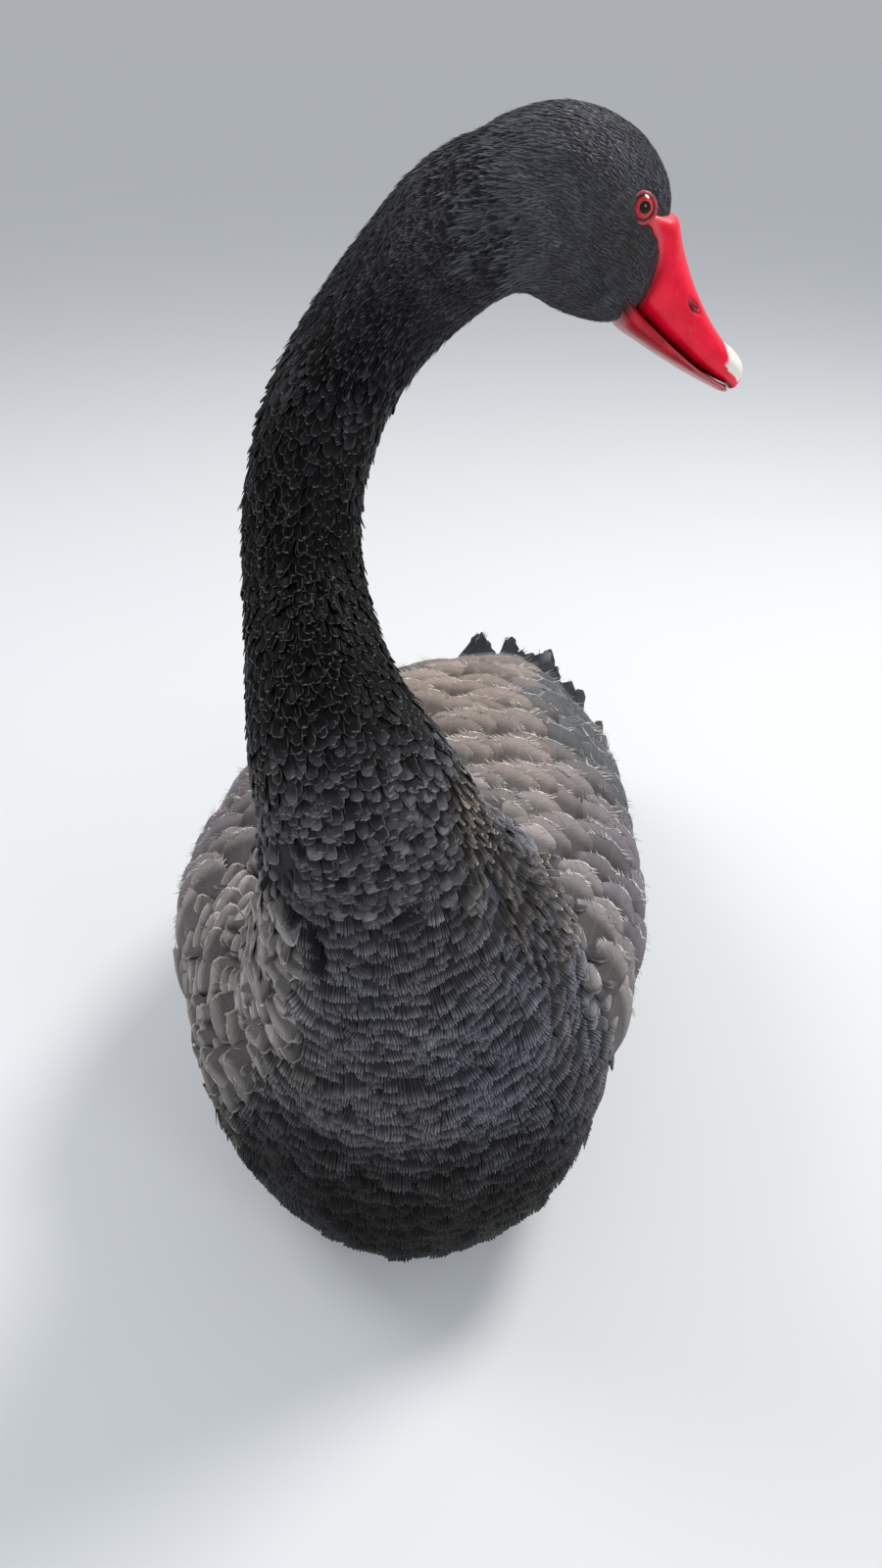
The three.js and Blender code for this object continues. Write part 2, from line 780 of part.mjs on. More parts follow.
// Web between three toes: each toe is a low ridge and the web's edge is scalloped between them
function webSolid(x) {
  const columns = [-1, -0.5, 0, 0.5, 1];
  const layer = (height) =>
    WEB.rows.map((along) =>
      columns.map((across) => {
        const onToe = Math.abs(across) !== 0.5;
        const scallop = along === 1 && !onToe ? WEB.scallop : 0;
        const thick = WEB.thick + (onToe ? WEB.toe * (1 - WEB.toeTaper * along) : 0);
        const half = THREE.MathUtils.lerp(WEB.rootHalf, WEB.spread, along);
        return point(x + across * half, WEB.root - WEB.length * along + scallop, height * thick);
      }),
    );
  return toSolid(slabSolid(layer(1), layer(0)));
}

function legSolid(way) {
  const { shank, sides } = LEG;
  const x = LEG.middle + way * LEG.side;
  const stop = (from, inward = 0) => ([y, height, radius]) =>
    [x - way * inward, from + y, height * shank, radius * shank];
  const tarsus = limbSolid([...TARSUS_FRONT.map(stop(LEG.toes)), ...TARSUS_REAR.map(stop(LEG.ankle))], sides);
  const drumstick = limbSolid(DRUMSTICK.map(([inward, ...rest]) => stop(LEG.ankle, inward)(rest)), sides);
  return wasm.Manifold.union([tarsus, drumstick, webSolid(x)]);
}

// Assembly
const torsoWhole = bodySolid(0, BREAST_TIP, BODY_REAR);
const bodyRoom = bodySolid(GAP, BREAST_TIP, TAIL_TIP);
const neckRoom = neckSolid(0, NECK_CUTS.base, NECK_RINGS.base, GAP);
place('torso', torsoWhole.subtract(wingRoom(1, GAP)).subtract(wingRoom(-1, GAP)), finishes.body);
place('neck_base', neckSolid(0, NECK_CUTS.base, NECK_RINGS.base).subtract(bodyRoom), finishes.neck);

// Each length of neck starts a gap after the one below it
const neckLengths = [
  ['neck_lower', NECK_CUTS.base, NECK_CUTS.lower],
  ['neck_middle', NECK_CUTS.lower, NECK_CUTS.middle],
  ['neck_upper', NECK_CUTS.middle, NECK_CUTS.upper],
];
for (const [name, from, to] of neckLengths) {
  place(name, neckSolid(neckShareAfter(from, GAP), to, NECK_RINGS.length), finishes.neck);
}
place('head', headSolid(neckShareAfter(NECK_CUTS.upper, GAP)), finishes.head);

const upperBill = upperBillSolid().subtract(nostrilPits()).subtract(eyeRoom());
place('upper_bill', upperBill.subtract(lowerBillSolid(GAP)), finishes.bill);
place('lower_bill', lowerBillSolid(), finishes.lowerBill);
for (const [side, way] of [['left', 1], ['right', -1]]) {
  place(`eye_${side}`, eyeSolid(way), finishes.eye);
  place(`wing_${side}`, wingSolid(way), finishes.wing);
  place(`leg_${side}`, legSolid(way).subtract(bodyRoom), finishes.leg);
}
place('tail', tailSolid(), finishes.tail);

export default swan;
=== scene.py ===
"""Looks of a life-size black swan, resting on its belly with the head turned to its left.

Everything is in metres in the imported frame: +Z up, the breast towards -Y and the swan's
left side towards +X. The body, neck and head forms repeat the part's driving dimensions,
so that the skin and the feathers lie where its solids are.
"""

from __future__ import annotations

import logging
import math
from dataclasses import dataclass, field, fields
from enum import Enum

import bmesh
import bpy
import numpy as np
from mathutils import Matrix, Vector
from mathutils.bvhtree import BVHTree
from mathutils.kdtree import KDTree


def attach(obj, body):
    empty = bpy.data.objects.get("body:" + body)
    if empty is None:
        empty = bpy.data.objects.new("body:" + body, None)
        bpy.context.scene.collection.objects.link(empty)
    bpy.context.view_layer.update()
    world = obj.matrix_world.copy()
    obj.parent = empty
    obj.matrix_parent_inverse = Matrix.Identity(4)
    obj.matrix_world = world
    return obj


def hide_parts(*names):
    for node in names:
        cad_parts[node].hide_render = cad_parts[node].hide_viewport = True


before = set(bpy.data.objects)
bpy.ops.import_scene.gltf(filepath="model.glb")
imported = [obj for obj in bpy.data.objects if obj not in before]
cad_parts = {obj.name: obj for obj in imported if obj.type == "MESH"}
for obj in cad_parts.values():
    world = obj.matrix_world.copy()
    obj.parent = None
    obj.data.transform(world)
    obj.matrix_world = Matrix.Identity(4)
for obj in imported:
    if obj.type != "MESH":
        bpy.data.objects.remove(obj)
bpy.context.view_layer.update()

MM = 0.001
SEED = 11
# The least height of a feather's points over the floor
FLOOR_GAP = 0.3 * MM
# The width of one feather's patch on the unwrap for baking
BAKE_PATCH = 0.003
# About the spine's whole length, by which that unwrap is scaled
BAKE_LENGTH = 1.1
Array = np.ndarray
Rows = tuple[tuple[float, ...], ...]
Faces = list[tuple[Array, bool]]
Colour = tuple[float, float, float]
Point = tuple[float, float, float]

logging.basicConfig(level=logging.INFO, format="%(message)s")
log = logging.getLogger("swan")


class Side(Enum):
    """Which side of the swan a piece is on, as the sign of X."""

    LEFT = 1
    RIGHT = -1


def unit(vectors: Array) -> Array:
    """Return the vectors, along the last axis, at length one."""
    return vectors / np.maximum(np.linalg.norm(vectors, axis=-1, keepdims=True), 1e-12)


def mix(low: Array | float, high: Array | float, share: Array | float) -> Array | float:
    """Return the value that lies a share of the way from low to high."""
    return low + (high - low) * share


def rising(values: Array, start: float, width: float) -> Array:
    """Return shares that are 0 up to the start and rise to 1 over the width after it."""
    return np.clip((values - start) / width, 0, 1)


def falling(values: Array, end: float, width: float) -> Array:
    """Return shares that fall from 1 over the width before the end and are 0 from there."""
    return np.clip((end - values) / width, 0, 1)


def varied(rng: np.random.Generator, spread: float, least: float, most: float, shape: object) -> Array:
    """Draw factors round 1 with a spread, held between the least and the most."""
    return np.clip(rng.normal(1.0, spread, shape), least, most)


def mirrored(way: Point, points: Array) -> Array:
    """Return one direction for all points, mirrored for those on the right side."""
    ways = np.tile(way, (len(points), 1))
    ways[:, 0] *= np.sign(points[:, 0])
    return ways


def laid(ways: Array, normals: Array) -> Array:
    """Return directions laid flat on a surface with these normals."""
    return unit(ways - normals * (ways * normals).sum(1, keepdims=True))


@dataclass(frozen=True)
class Curve:
    """A smooth curve of values through rows whose first number is the place."""

    rows: Rows

    def __call__(self, places: Array | float) -> Array:
        """Read the curve.

        Args:
            places: Where to read it, held between the first and the last row.

        Returns:
            One row of values for each place.
        """
        table = np.array(self.rows, float)
        stops, values = table[:, 0], table[:, 1:]
        slopes = np.empty_like(values)
        slopes[1:-1] = (values[2:] - values[:-2]) / (stops[2:] - stops[:-2])[:, None]
        slopes[0] = (values[1] - values[0]) / (stops[1] - stops[0])
        slopes[-1] = (values[-1] - values[-2]) / (stops[-1] - stops[-2])
        at = np.clip(np.asarray(places, float), stops[0], stops[-1])
        i = np.clip(np.searchsorted(stops, at, side="right") - 1, 0, len(stops) - 2)
        gap = stops[i + 1] - stops[i]
        t = ((at - stops[i]) / gap)[..., None]
        gap = gap[..., None]
        return (
            values[i] * (1 + 2 * t) * (1 - t) ** 2
            + slopes[i] * gap * t * (1 - t) ** 2
            + values[i + 1] * t**2 * (3 - 2 * t)
            + slopes[i + 1] * gap * t**2 * (t - 1)
        )


def scaled(rows: Rows) -> Rows:
    """Return rows of millimetres as rows of metres."""
    return tuple(tuple(value * MM for value in row) for row in rows)


@dataclass(frozen=True)
class BodyForm:
    """The body's outer shape: place on Y, half width, rise, depth, middle height, offset."""

    stations: Rows = scaled((
        (-250, 0, 0, 0, 96, 13),
        (-236, 54, 54, 62, 97, 12),
        (-205, 102, 82, 104, 112, 9),
        (-165, 124, 93, 132, 127, 3),
        (-110, 138, 89, 150, 141, -5),
        (-40, 142, 86, 158, 150, -8),
        (40, 129, 79, 158, 151, -11),
        (120, 108, 68, 124, 147, -9),
        (200, 79, 55, 72, 132, -5),
        (260, 54, 44, 28, 118, -1),
        (340, 34, 12, 8, 106, 3),
    ))

    def section(self, y: Array) -> tuple[Array, ...]:
        """Read the cross section at places along the body.

        Args:
            y: The places.

        Returns:
            Half width, rise, depth, height of the middle and sideways offset.
        """
        squared = tuple((s[0], s[1] ** 2, s[2] ** 2, s[3] ** 2, s[4], s[5]) for s in self.stations)
        values = Curve(squared)(y)
        sizes = np.sqrt(np.maximum(values[..., :3], 0.0))
        return sizes[..., 0], sizes[..., 1], sizes[..., 2], values[..., 3], values[..., 4]

    def surface(self, y: Array, degrees: Array) -> Array:
        """Find points on the surface.

        Args:
            y: Places along the body.
            degrees: Angles up from the widest line on the left side.

        Returns:
            The points.
        """
        y, degrees = np.broadcast_arrays(np.asarray(y, float), np.asarray(degrees, float))
        wide, rise, depth, middle, offset = self.section(y)
        angle = np.radians(degrees)
        height = np.where(np.sin(angle) > 0, rise, depth)
        return np.stack(
            [offset + wide * np.cos(angle), y, middle + height * np.sin(angle)], axis=-1
        )

    def normal(self, y: Array, degrees: Array) -> Array:
        """Find the outward normals.

        Args:
            y: Places along the body.
            degrees: Angles up from the widest line on the left side.

        Returns:
            Unit vectors.
        """
        along = self.surface(y + MM, degrees) - self.surface(y - MM, degrees)
        around = self.surface(y, degrees + 1) - self.surface(y, degrees - 1)
        return unit(np.cross(along, around))

    def point(self, y: Array, degrees: Array, lift: Array | float = 0.0) -> Array:
        """Find points raised off the surface, and never below the floor.

        Args:
            y: Places along the body.
            degrees: Angles up from the widest line on the left side.
            lift: How far the points stand off.

        Returns:
            The points.
        """
        y, degrees, lift = np.broadcast_arrays(
            np.asarray(y, float), np.asarray(degrees, float), np.asarray(lift, float)
        )
        found = self.surface(y, degrees) + self.normal(y, degrees) * lift[..., None]
        found[..., 2] = np.maximum(found[..., 2], 0.0)
        return found


@dataclass(frozen=True)
class NeckForm:
    """The neck's route from inside the breast to inside the head: x, y, z and radius."""

    stops: Rows = scaled((
        (12, -138, 120, 92),
        (13, -150, 170, 98),
        (13, -163, 212, 88),
        (12, -181, 246, 74),
        (10, -196, 282, 60.5),
        (4, -202, 320, 51.5),
        (-8, -200, 354, 42),
        (-19, -187, 385, 33),
        (-29, -166, 415, 28.5),
        (-31, -154, 445, 27.5),
        (-23, -149, 478, 27),
        (-8, -139, 508, 27),
        (16, -138, 536, 28.5),
        (45, -150, 560, 31),
        (72, -147, 565, 30),
    ))

    def __call__(self, share: Array) -> tuple[Array, Array]:
        """Read the route.

        Args:
            share: Shares of the route, by its stops.

        Returns:
            Centres and radii.
        """
        last = len(self.stops) - 1
        rows = tuple((i / last, *stop) for i, stop in enumerate(self.stops))
        values = Curve(rows)(share)
        return values[..., :3], values[..., 3]


@dataclass(frozen=True)
class HeadForm:
    """The head's frame, where F runs along the bill, L to the left and U to the crown."""

    origin: Point = (103 * MM, -135.7 * MM, 542.7 * MM)
    forward: Point = (0.741, 0.253, -0.622)
    upward: Point = (0.526, 0.357, 0.772)
    # Distance along F, top, bottom and half width
    sections: Rows = scaled((
        (10, -6, -15, 4),
        (9, -2, -18.5, 10.5),
        (7, 5, -21, 14.2),
        (3, 17, -24, 16.2),
        (0, 23, -25.5, 17),
        (-6, 31.5, -28.5, 18.8),
        (-16, 36.5, -31.5, 21.5),
        (-28, 38.5, -33, 24.5),
        (-41, 36.5, -33, 25.5),
        (-54, 31, -29, 24),
        (-64, 23, -23, 20),
        (-72, 12, -15, 13),
    ))

    def matrix(self) -> Matrix:
        """Return the frame, as a matrix from (F, L, U) to the world."""
        forward = Vector(self.forward).normalized()
        upward = Vector(self.upward)
        upward = (upward - forward * upward.dot(forward)).normalized()
        left = upward.cross(forward)
        rows = Matrix((forward, left, upward)).transposed().to_4x4()
        return Matrix.Translation(self.origin) @ rows

    def local(self, points: Array) -> Array:
        """Return world points in the head's frame."""
        inverse = np.array(self.matrix().inverted())
        return points @ inverse[:3, :3].T + inverse[:3, 3]

    def world(self, points: Array) -> Array:
        """Return points of the head's frame in the world."""
        turned = np.array(self.matrix())
        return points @ turned[:3, :3].T + turned[:3, 3]


BODY = BodyForm()
NECK = NeckForm()
HEAD = HeadForm()


def link(name: str, mesh: bpy.types.Mesh) -> bpy.types.Object:
    """Put a mesh into the scene as an object at the origin.

    Args:
        name: The object's name.
        mesh: Its mesh.

    Returns:
        The new object.
    """
    mesh.name = name
    piece = bpy.data.objects.new(name, mesh)
    bpy.context.scene.collection.objects.link(piece)
    return piece


def mesh_from(bm: bmesh.types.BMesh, smooth: bool = True) -> bpy.types.Mesh:
    """Turn a bmesh into a mesh and free it.

    Args:
        bm: The bmesh.
        smooth: Whether its faces are shaded smooth.

    Returns:
        The mesh.
    """
    mesh = bpy.data.meshes.new("part")
    bm.to_mesh(mesh)
    bm.free()
    mesh.polygons.foreach_set("use_smooth", [smooth] * len(mesh.polygons))
    return mesh


def paint(mesh: bpy.types.Mesh, name: str, colours: Array) -> None:
    """Give a mesh an attribute with a colour for each point."""
    layer = mesh.attributes.new(name, "FLOAT_COLOR", "POINT")
    layer.data.foreach_set("color", colours.astype(np.float32).ravel())


def unwrap(mesh: bpy.types.Mesh, name: str, places: Array, corners: Array) -> None:
    """Give a mesh a UV map with a place for each point, set at the faces' corners."""
    layer = mesh.uv_layers.new(name=name)
    layer.data.foreach_set("uv", places[corners].astype(np.float32).ravel())


def report(*pieces: bpy.types.Object) -> None:
    """Log each piece's name and how many triangles its faces come to."""
    for piece in pieces:
        mesh = piece.data
        log.info("%s: %d triangles", piece.name, len(mesh.loops) - 2 * len(mesh.polygons))


def applied(piece: bpy.types.Object) -> bpy.types.Object:
    """Replace a piece's mesh by what its modifiers make of it.

    Args:
        piece: The piece.

    Returns:
        The same piece, without modifiers.
    """
    graph = bpy.context.evaluated_depsgraph_get()
    mesh = bpy.data.meshes.new_from_object(piece.evaluated_get(graph))
    piece.modifiers.clear()
    old = piece.data
    piece.data = mesh
    mesh.name = piece.name
    bpy.data.meshes.remove(old)
    return piece


def loft(bm: bmesh.types.BMesh, rings: list[Array]) -> None:
    """Add a closed skin through rings of equal counts, with both ends capped.

    Args:
        bm: The bmesh that it is added to.
        rings: The points of each ring, in order.
    """
    loops = []
    for ring in rings:
        made = bmesh.ops.create_circle(bm, cap_ends=False, segments=len(ring), radius=1.0)
        for vert, place in zip(made["verts"], ring):
            vert.co = place
        edges = {edge for vert in made["verts"] for edge in vert.link_edges}
        loops.append(list(edges))
    for before, after in zip(loops, loops[1:]):
        bmesh.ops.bridge_loops(bm, edges=before + after)
    bmesh.ops.holes_fill(bm, edges=loops[0] + loops[-1], sides=len(rings[0]))


class Shader:
    """A material's node tree, with short calls for the nodes that the finishes share."""

    def __init__(self, name: str) -> None:
        """Start a material with a Principled shader and its output."""
        self.material = bpy.data.materials.new(name)
        self.material.use_nodes = True
        self.tree = self.material.node_tree
        self.shader = self.tree.nodes["Principled BSDF"]

    def node(self, kind: str, **values: object) -> bpy.types.Node:
        """Add a node.

        Args:
            kind: The node's type.
            values: Its properties by name.

        Returns:
            The node.
        """
        made = self.tree.nodes.new(kind)
        for key, value in values.items():
            setattr(made, key, value)
        return made

    def join(self, source: object, target: object) -> None:
        """Link a socket, or set it where the source is a plain value."""
        if isinstance(source, bpy.types.NodeSocket):
            self.tree.links.new(source, target)
        else:
            target.default_value = source

    def maths(self, operation: str, a: object, b: object = 0.0, clamp: bool = False) -> object:
        """Return the result of a sum on two values or sockets.

        Args:
            operation: The Math node's operation.
            a: The first value or socket.
            b: The second.
            clamp: Whether the result is held between 0 and 1.

        Returns:
            The output socket.
        """
        made = self.node("ShaderNodeMath", operation=operation, use_clamp=clamp)
        self.join(a, made.inputs[0])
        self.join(b, made.inputs[1])
        return made.outputs[0]

    def ramp(self, value: object, low: float, high: float) -> object:
        """Return a smooth step of a value, 0 at low and 1 at high."""
        made = self.node("ShaderNodeMapRange", interpolation_type="SMOOTHSTEP")
        self.join(value, made.inputs["Value"])
        made.inputs["From Min"].default_value = low
        made.inputs["From Max"].default_value = high
        return made.outputs["Result"]

    def blend(self, share: object, a: object, b: object, kind: str = "MIX") -> object:
        """Return the blend of two colours.

        Args:
            share: How much of the second.
            a: The first colour or socket.
            b: The second.
            kind: The way they are blended.

        Returns:
            The output socket.
        """
        made = self.node("ShaderNodeMix", data_type="RGBA", blend_type=kind)
        self.join(share, made.inputs[0])
        self.join((*a, 1.0) if isinstance(a, tuple) else a, made.inputs[6])
        self.join((*b, 1.0) if isinstance(b, tuple) else b, made.inputs[7])
        return made.outputs[2]

    def noise(self, vector: object, scale: float, detail: float = 2.0) -> object:
        """Return a noise's strength at a vector."""
        made = self.node("ShaderNodeTexNoise")
        self.join(vector, made.inputs["Vector"])
        made.inputs["Scale"].default_value = scale
        made.inputs["Detail"].default_value = detail
        return made.outputs["Fac"]

    def stretched(self, vector: object, scale: Point) -> object:
        """Return a vector scaled by its own amount on each axis."""
        made = self.node("ShaderNodeMapping")
        self.join(vector, made.inputs["Vector"])
        made.inputs["Scale"].default_value = scale
        return made.outputs["Vector"]

    def place(self) -> object:
        """Return the object coordinates."""
        return self.node("ShaderNodeTexCoord").outputs["Object"]

    def uv(self, name: str) -> object:
        """Return a UV map's coordinates."""
        return self.node("ShaderNodeUVMap", uv_map=name).outputs["UV"]

    def attribute(self, name: str) -> bpy.types.Node:
        """Return a node that reads an attribute of the mesh."""
        return self.node("ShaderNodeAttribute", attribute_name=name)

    def channels(self, name: str) -> list[object]:
        """Return the red, green and blue of an attribute of the mesh."""
        parts = self.node("ShaderNodeSeparateColor")
        self.join(self.attribute(name).outputs["Color"], parts.inputs[0])
        return list(parts.outputs)

    def grey(self, value: object) -> object:
        """Return a value as a grey colour."""
        joined = self.node("ShaderNodeCombineColor")
        for socket in joined.inputs[:3]:
            self.join(value, socket)
        return joined.outputs[0]

    def product(self, *factors: object) -> object:
        """Return the product of values or sockets."""
        total = factors[0]
        for factor in factors[1:]:
            total = self.maths("MULTIPLY", total, factor)
        return total

    def bump(self, height: object, strength: float, distance: float) -> None:
        """Give the shader a bump from a height."""
        made = self.node("ShaderNodeBump")
        self.join(height, made.inputs["Height"])
        made.inputs["Strength"].default_value = strength
        made.inputs["Distance"].default_value = distance
        self.join(made.outputs["Normal"], self.shader.inputs["Normal"])

    def settings(self, **values: float | tuple[float, ...]) -> None:
        """Set constant values on the shader's own sockets by name, with _ for spaces."""
        for key, value in values.items():
            self.shader.inputs[key.replace("_", " ")].default_value = value


class Finish:
    """What all finishes share: a name, and one material for all pieces that wear it."""

    name: str

    def build(self) -> bpy.types.Material:
        """Build the material."""
        raise NotImplementedError

    def material(self) -> bpy.types.Material:
        """Return the material, which is built when it is first asked for."""
        return bpy.data.materials.get(self.name) or self.build()


@dataclass(frozen=True)
class FeatherFinish(Finish):
    """Feathers: each one's own tint, darker towards the root (partly its own colour, partly painted shadow
    of the feather over it), a paler fringe, barbs on the slant and a pale shaft.
    """

    name: str
    fringe: Colour
    fringe_from: float = 0.88
    side_from: float = 0.84
    barb_contrast: float = 0.45
    barb_bump: float = 0.3
    fray: float = 0.18
    roughness: float = 0.42
    specular: float = 0.34
    shaft: float = 0.0
    # How dark the root is, and from where it lightens: partly the feather's own darker base, partly
    # painted shadow of the feather over it
    inner: float = 0.75
    inner_from: float = 0.45

    def build(self) -> bpy.types.Material:
        """Build the material.

        Returns:
            The material, which reads the UV maps Vane and Barb and the attribute Tint.
        """
        made = Shader(self.name)
        tint = made.attribute("Tint")
        vane = made.node("ShaderNodeSeparateXYZ")
        made.join(made.uv("Vane"), vane.inputs[0])
        across = made.maths("ABSOLUTE", made.maths("SUBTRACT", vane.outputs[0], 0.5))
        across = made.product(across, 2.0)
        along = vane.outputs[1]
        barbs = made.noise(made.stretched(made.uv("Barb"), (1.0, 0.12, 1.0)), 1.0, 3.0)
        uneven = made.maths("SUBTRACT", barbs, 0.5)
        frayed = made.product(uneven, self.fray)
        side_to = max(1.02, self.side_from + 0.1)
        tip = made.ramp(made.maths("ADD", along, frayed), self.fringe_from, 1.0)
        sides = made.ramp(made.maths("ADD", across, frayed), self.side_from, side_to)
        sides = made.product(sides, made.ramp(along, 0.35, 0.8))
        edge = made.maths("MAXIMUM", tip, sides)
        edge = made.maths("MULTIPLY", edge, tint.outputs["Alpha"], clamp=True)
        shade = made.maths("ADD", made.product(uneven, 2 * self.barb_contrast), 1.0)
        # Darker towards the root: partly the feather's own darker base, partly painted shadow of the
        # feather that overlaps it
        near = made.product(made.ramp(along, self.inner_from, 0.92), 1.12 - self.inner)
        near = made.maths("ADD", near, self.inner)
        body = made.blend(1.0, tint.outputs["Color"], made.grey(near), "MULTIPLY")
        colour = made.blend(edge, body, self.fringe)
        colour = made.blend(1.0, colour, made.grey(shade), "MULTIPLY")
        shaft = made.product(made.ramp(across, 0.07, 0.0), self.shaft)
        colour = made.blend(shaft, colour, self.fringe)
        made.join(colour, made.shader.inputs["Base Color"])
        made.bump(barbs, self.barb_bump, 0.4 * MM)
        made.settings(Roughness=self.roughness, Specular_IOR_Level=self.specular)
        return made.material


@dataclass(frozen=True)
class SkinFinish(Finish):
    """Skin under the coat, in the same tints as the feathers over it and darker."""

    name: str = "skin_under_feathers"
    darker: float = 0.55

    def build(self) -> bpy.types.Material:
        """Build the material, which reads the attribute Tint."""
        made = Shader(self.name)
        tint = made.attribute("Tint").outputs["Color"]
        down = made.noise(made.stretched(made.place(), (900.0, 500.0, 500.0)), 1.0, 4.0)
        shade = made.grey(made.product(down, 2 * self.darker))
        colour = made.blend(1.0, tint, shade, "MULTIPLY")
        made.join(colour, made.shader.inputs["Base Color"])
        made.bump(down, 0.6, 0.6 * MM)
        made.settings(Roughness=0.85, Specular_IOR_Level=0.2)
        return made.material


@dataclass(frozen=True)
class HornFinish(Finish):
    """Waxy horn of the bill: crimson with veins and a fine bump, pale streaks painted as highlights, a
    pale rim, a cream nail and painted shadow along the mouth and in the nostrils.
    """

    name: str
    base: Colour = (1.0, 0.002, 0.038)
    deep: Colour = (0.82, 0.001, 0.024)
    rim: Colour = (0.72, 0.16, 0.17)
    nail: Colour = (0.88, 0.82, 0.76)
    hollow: Colour = (0.016, 0.002, 0.003)

    def build(self) -> bpy.types.Material:
        """Build the material, which reads the attribute Mark: rim, nail and shadow."""
        made = Shader(self.name)
        rim, nail, shadow = made.channels("Mark")
        place = made.place()
        cloud = made.noise(place, 130.0, 5.0)
        fine = made.noise(place, 900.0, 4.0)
        # Painted highlight: pale streaks along the horn in the rim's colour
        highlight_streak = made.noise(made.stretched(place, (260.0, 90.0, 320.0)), 1.0, 3.0)
        pale = made.product(made.ramp(highlight_streak, 0.62, 0.74), 0.22)
        colour = made.blend(made.ramp(cloud, 0.32, 0.66), self.deep, self.base)
        colour = made.blend(pale, colour, self.rim)
        colour = made.blend(made.product(shadow, 0.92), colour, self.hollow)
        colour = made.blend(rim, colour, self.rim)
        colour = made.blend(nail, colour, self.nail)
        made.join(colour, made.shader.inputs["Base Color"])
        rough = made.maths("ADD", made.product(fine, 0.16), 0.22)
        made.join(rough, made.shader.inputs["Roughness"])
        made.bump(made.maths("ADD", made.product(cloud, 0.8), fine), 0.25, 0.3 * MM)
        made.settings(Specular_IOR_Level=0.30, Coat_Weight=0.14, Coat_Roughness=0.10)
        return made.material


@dataclass(frozen=True)
class EyeFinish(Finish):
    """Wet eye: black pupil, red iris with a darker ring, read from the angle off the axis."""

    name: str = "eye_red"
    pupil: Colour = (0.004, 0.003, 0.003)
    iris: Colour = (0.50, 0.008, 0.014)
    iris_bright: Colour = (0.66, 0.05, 0.04)
    iris_dark: Colour = (0.09, 0.002, 0.004)
    white: Colour = (0.02, 0.003, 0.004)

    def build(self) -> bpy.types.Material:
        """Build the material, which reads the attribute Mark: the angle off the axis."""
        made = Shader(self.name)
        off = made.channels("Mark")[0]
        fibres = made.noise(made.stretched(made.place(), (700.0, 700.0, 700.0)), 1.0, 3.0)
        iris = made.blend(made.ramp(fibres, 0.35, 0.7), self.iris, self.iris_bright)
        iris = made.blend(made.ramp(off, 0.36, 0.44), iris, self.iris_dark)
        colour = made.blend(made.ramp(off, 0.215, 0.24), self.pupil, iris)
        colour = made.blend(made.ramp(off, 0.46, 0.52), colour, self.white)
        made.join(colour, made.shader.inputs["Base Color"])
        made.settings(Roughness=0.15, Specular_IOR_Level=0.2, Coat_Weight=0.3, Coat_Roughness=0.02)
        return made.material


@dataclass(frozen=True)
class SoftSkinFinish(Finish):
    """Bare skin of lids and legs: wrinkled, with small scales."""

    name: str
    base: Colour
    deep: Colour
    scale: float
    roughness: float = 0.5

    def build(self) -> bpy.types.Material:
        """Build the material, which reads the object coordinates."""
        made = Shader(self.name)
        place = made.place()
        cells = made.node("ShaderNodeTexVoronoi", feature="DISTANCE_TO_EDGE")
        made.join(place, cells.inputs["Vector"])
        cells.inputs["Scale"].default_value = self.scale
        line = made.ramp(cells.outputs["Distance"], 0.0, 0.12)
        cloud = made.noise(place, self.scale * 0.3, 4.0)
        colour = made.blend(line, self.deep, self.base)
        colour = made.blend(made.product(cloud, 0.45), colour, self.deep)
        made.join(colour, made.shader.inputs["Base Color"])
        made.bump(line, 0.4, 0.25 * MM)
        made.settings(Roughness=self.roughness, Specular_IOR_Level=0.45)
        return made.material


LID_SKIN = SoftSkinFinish("lid_pink", (0.58, 0.075, 0.085), (0.30, 0.015, 0.022), 1400.0, 0.42)
LEG_SKIN = SoftSkinFinish("leg_leather", (0.030, 0.028, 0.030), (0.008, 0.008, 0.009), 420.0, 0.55)


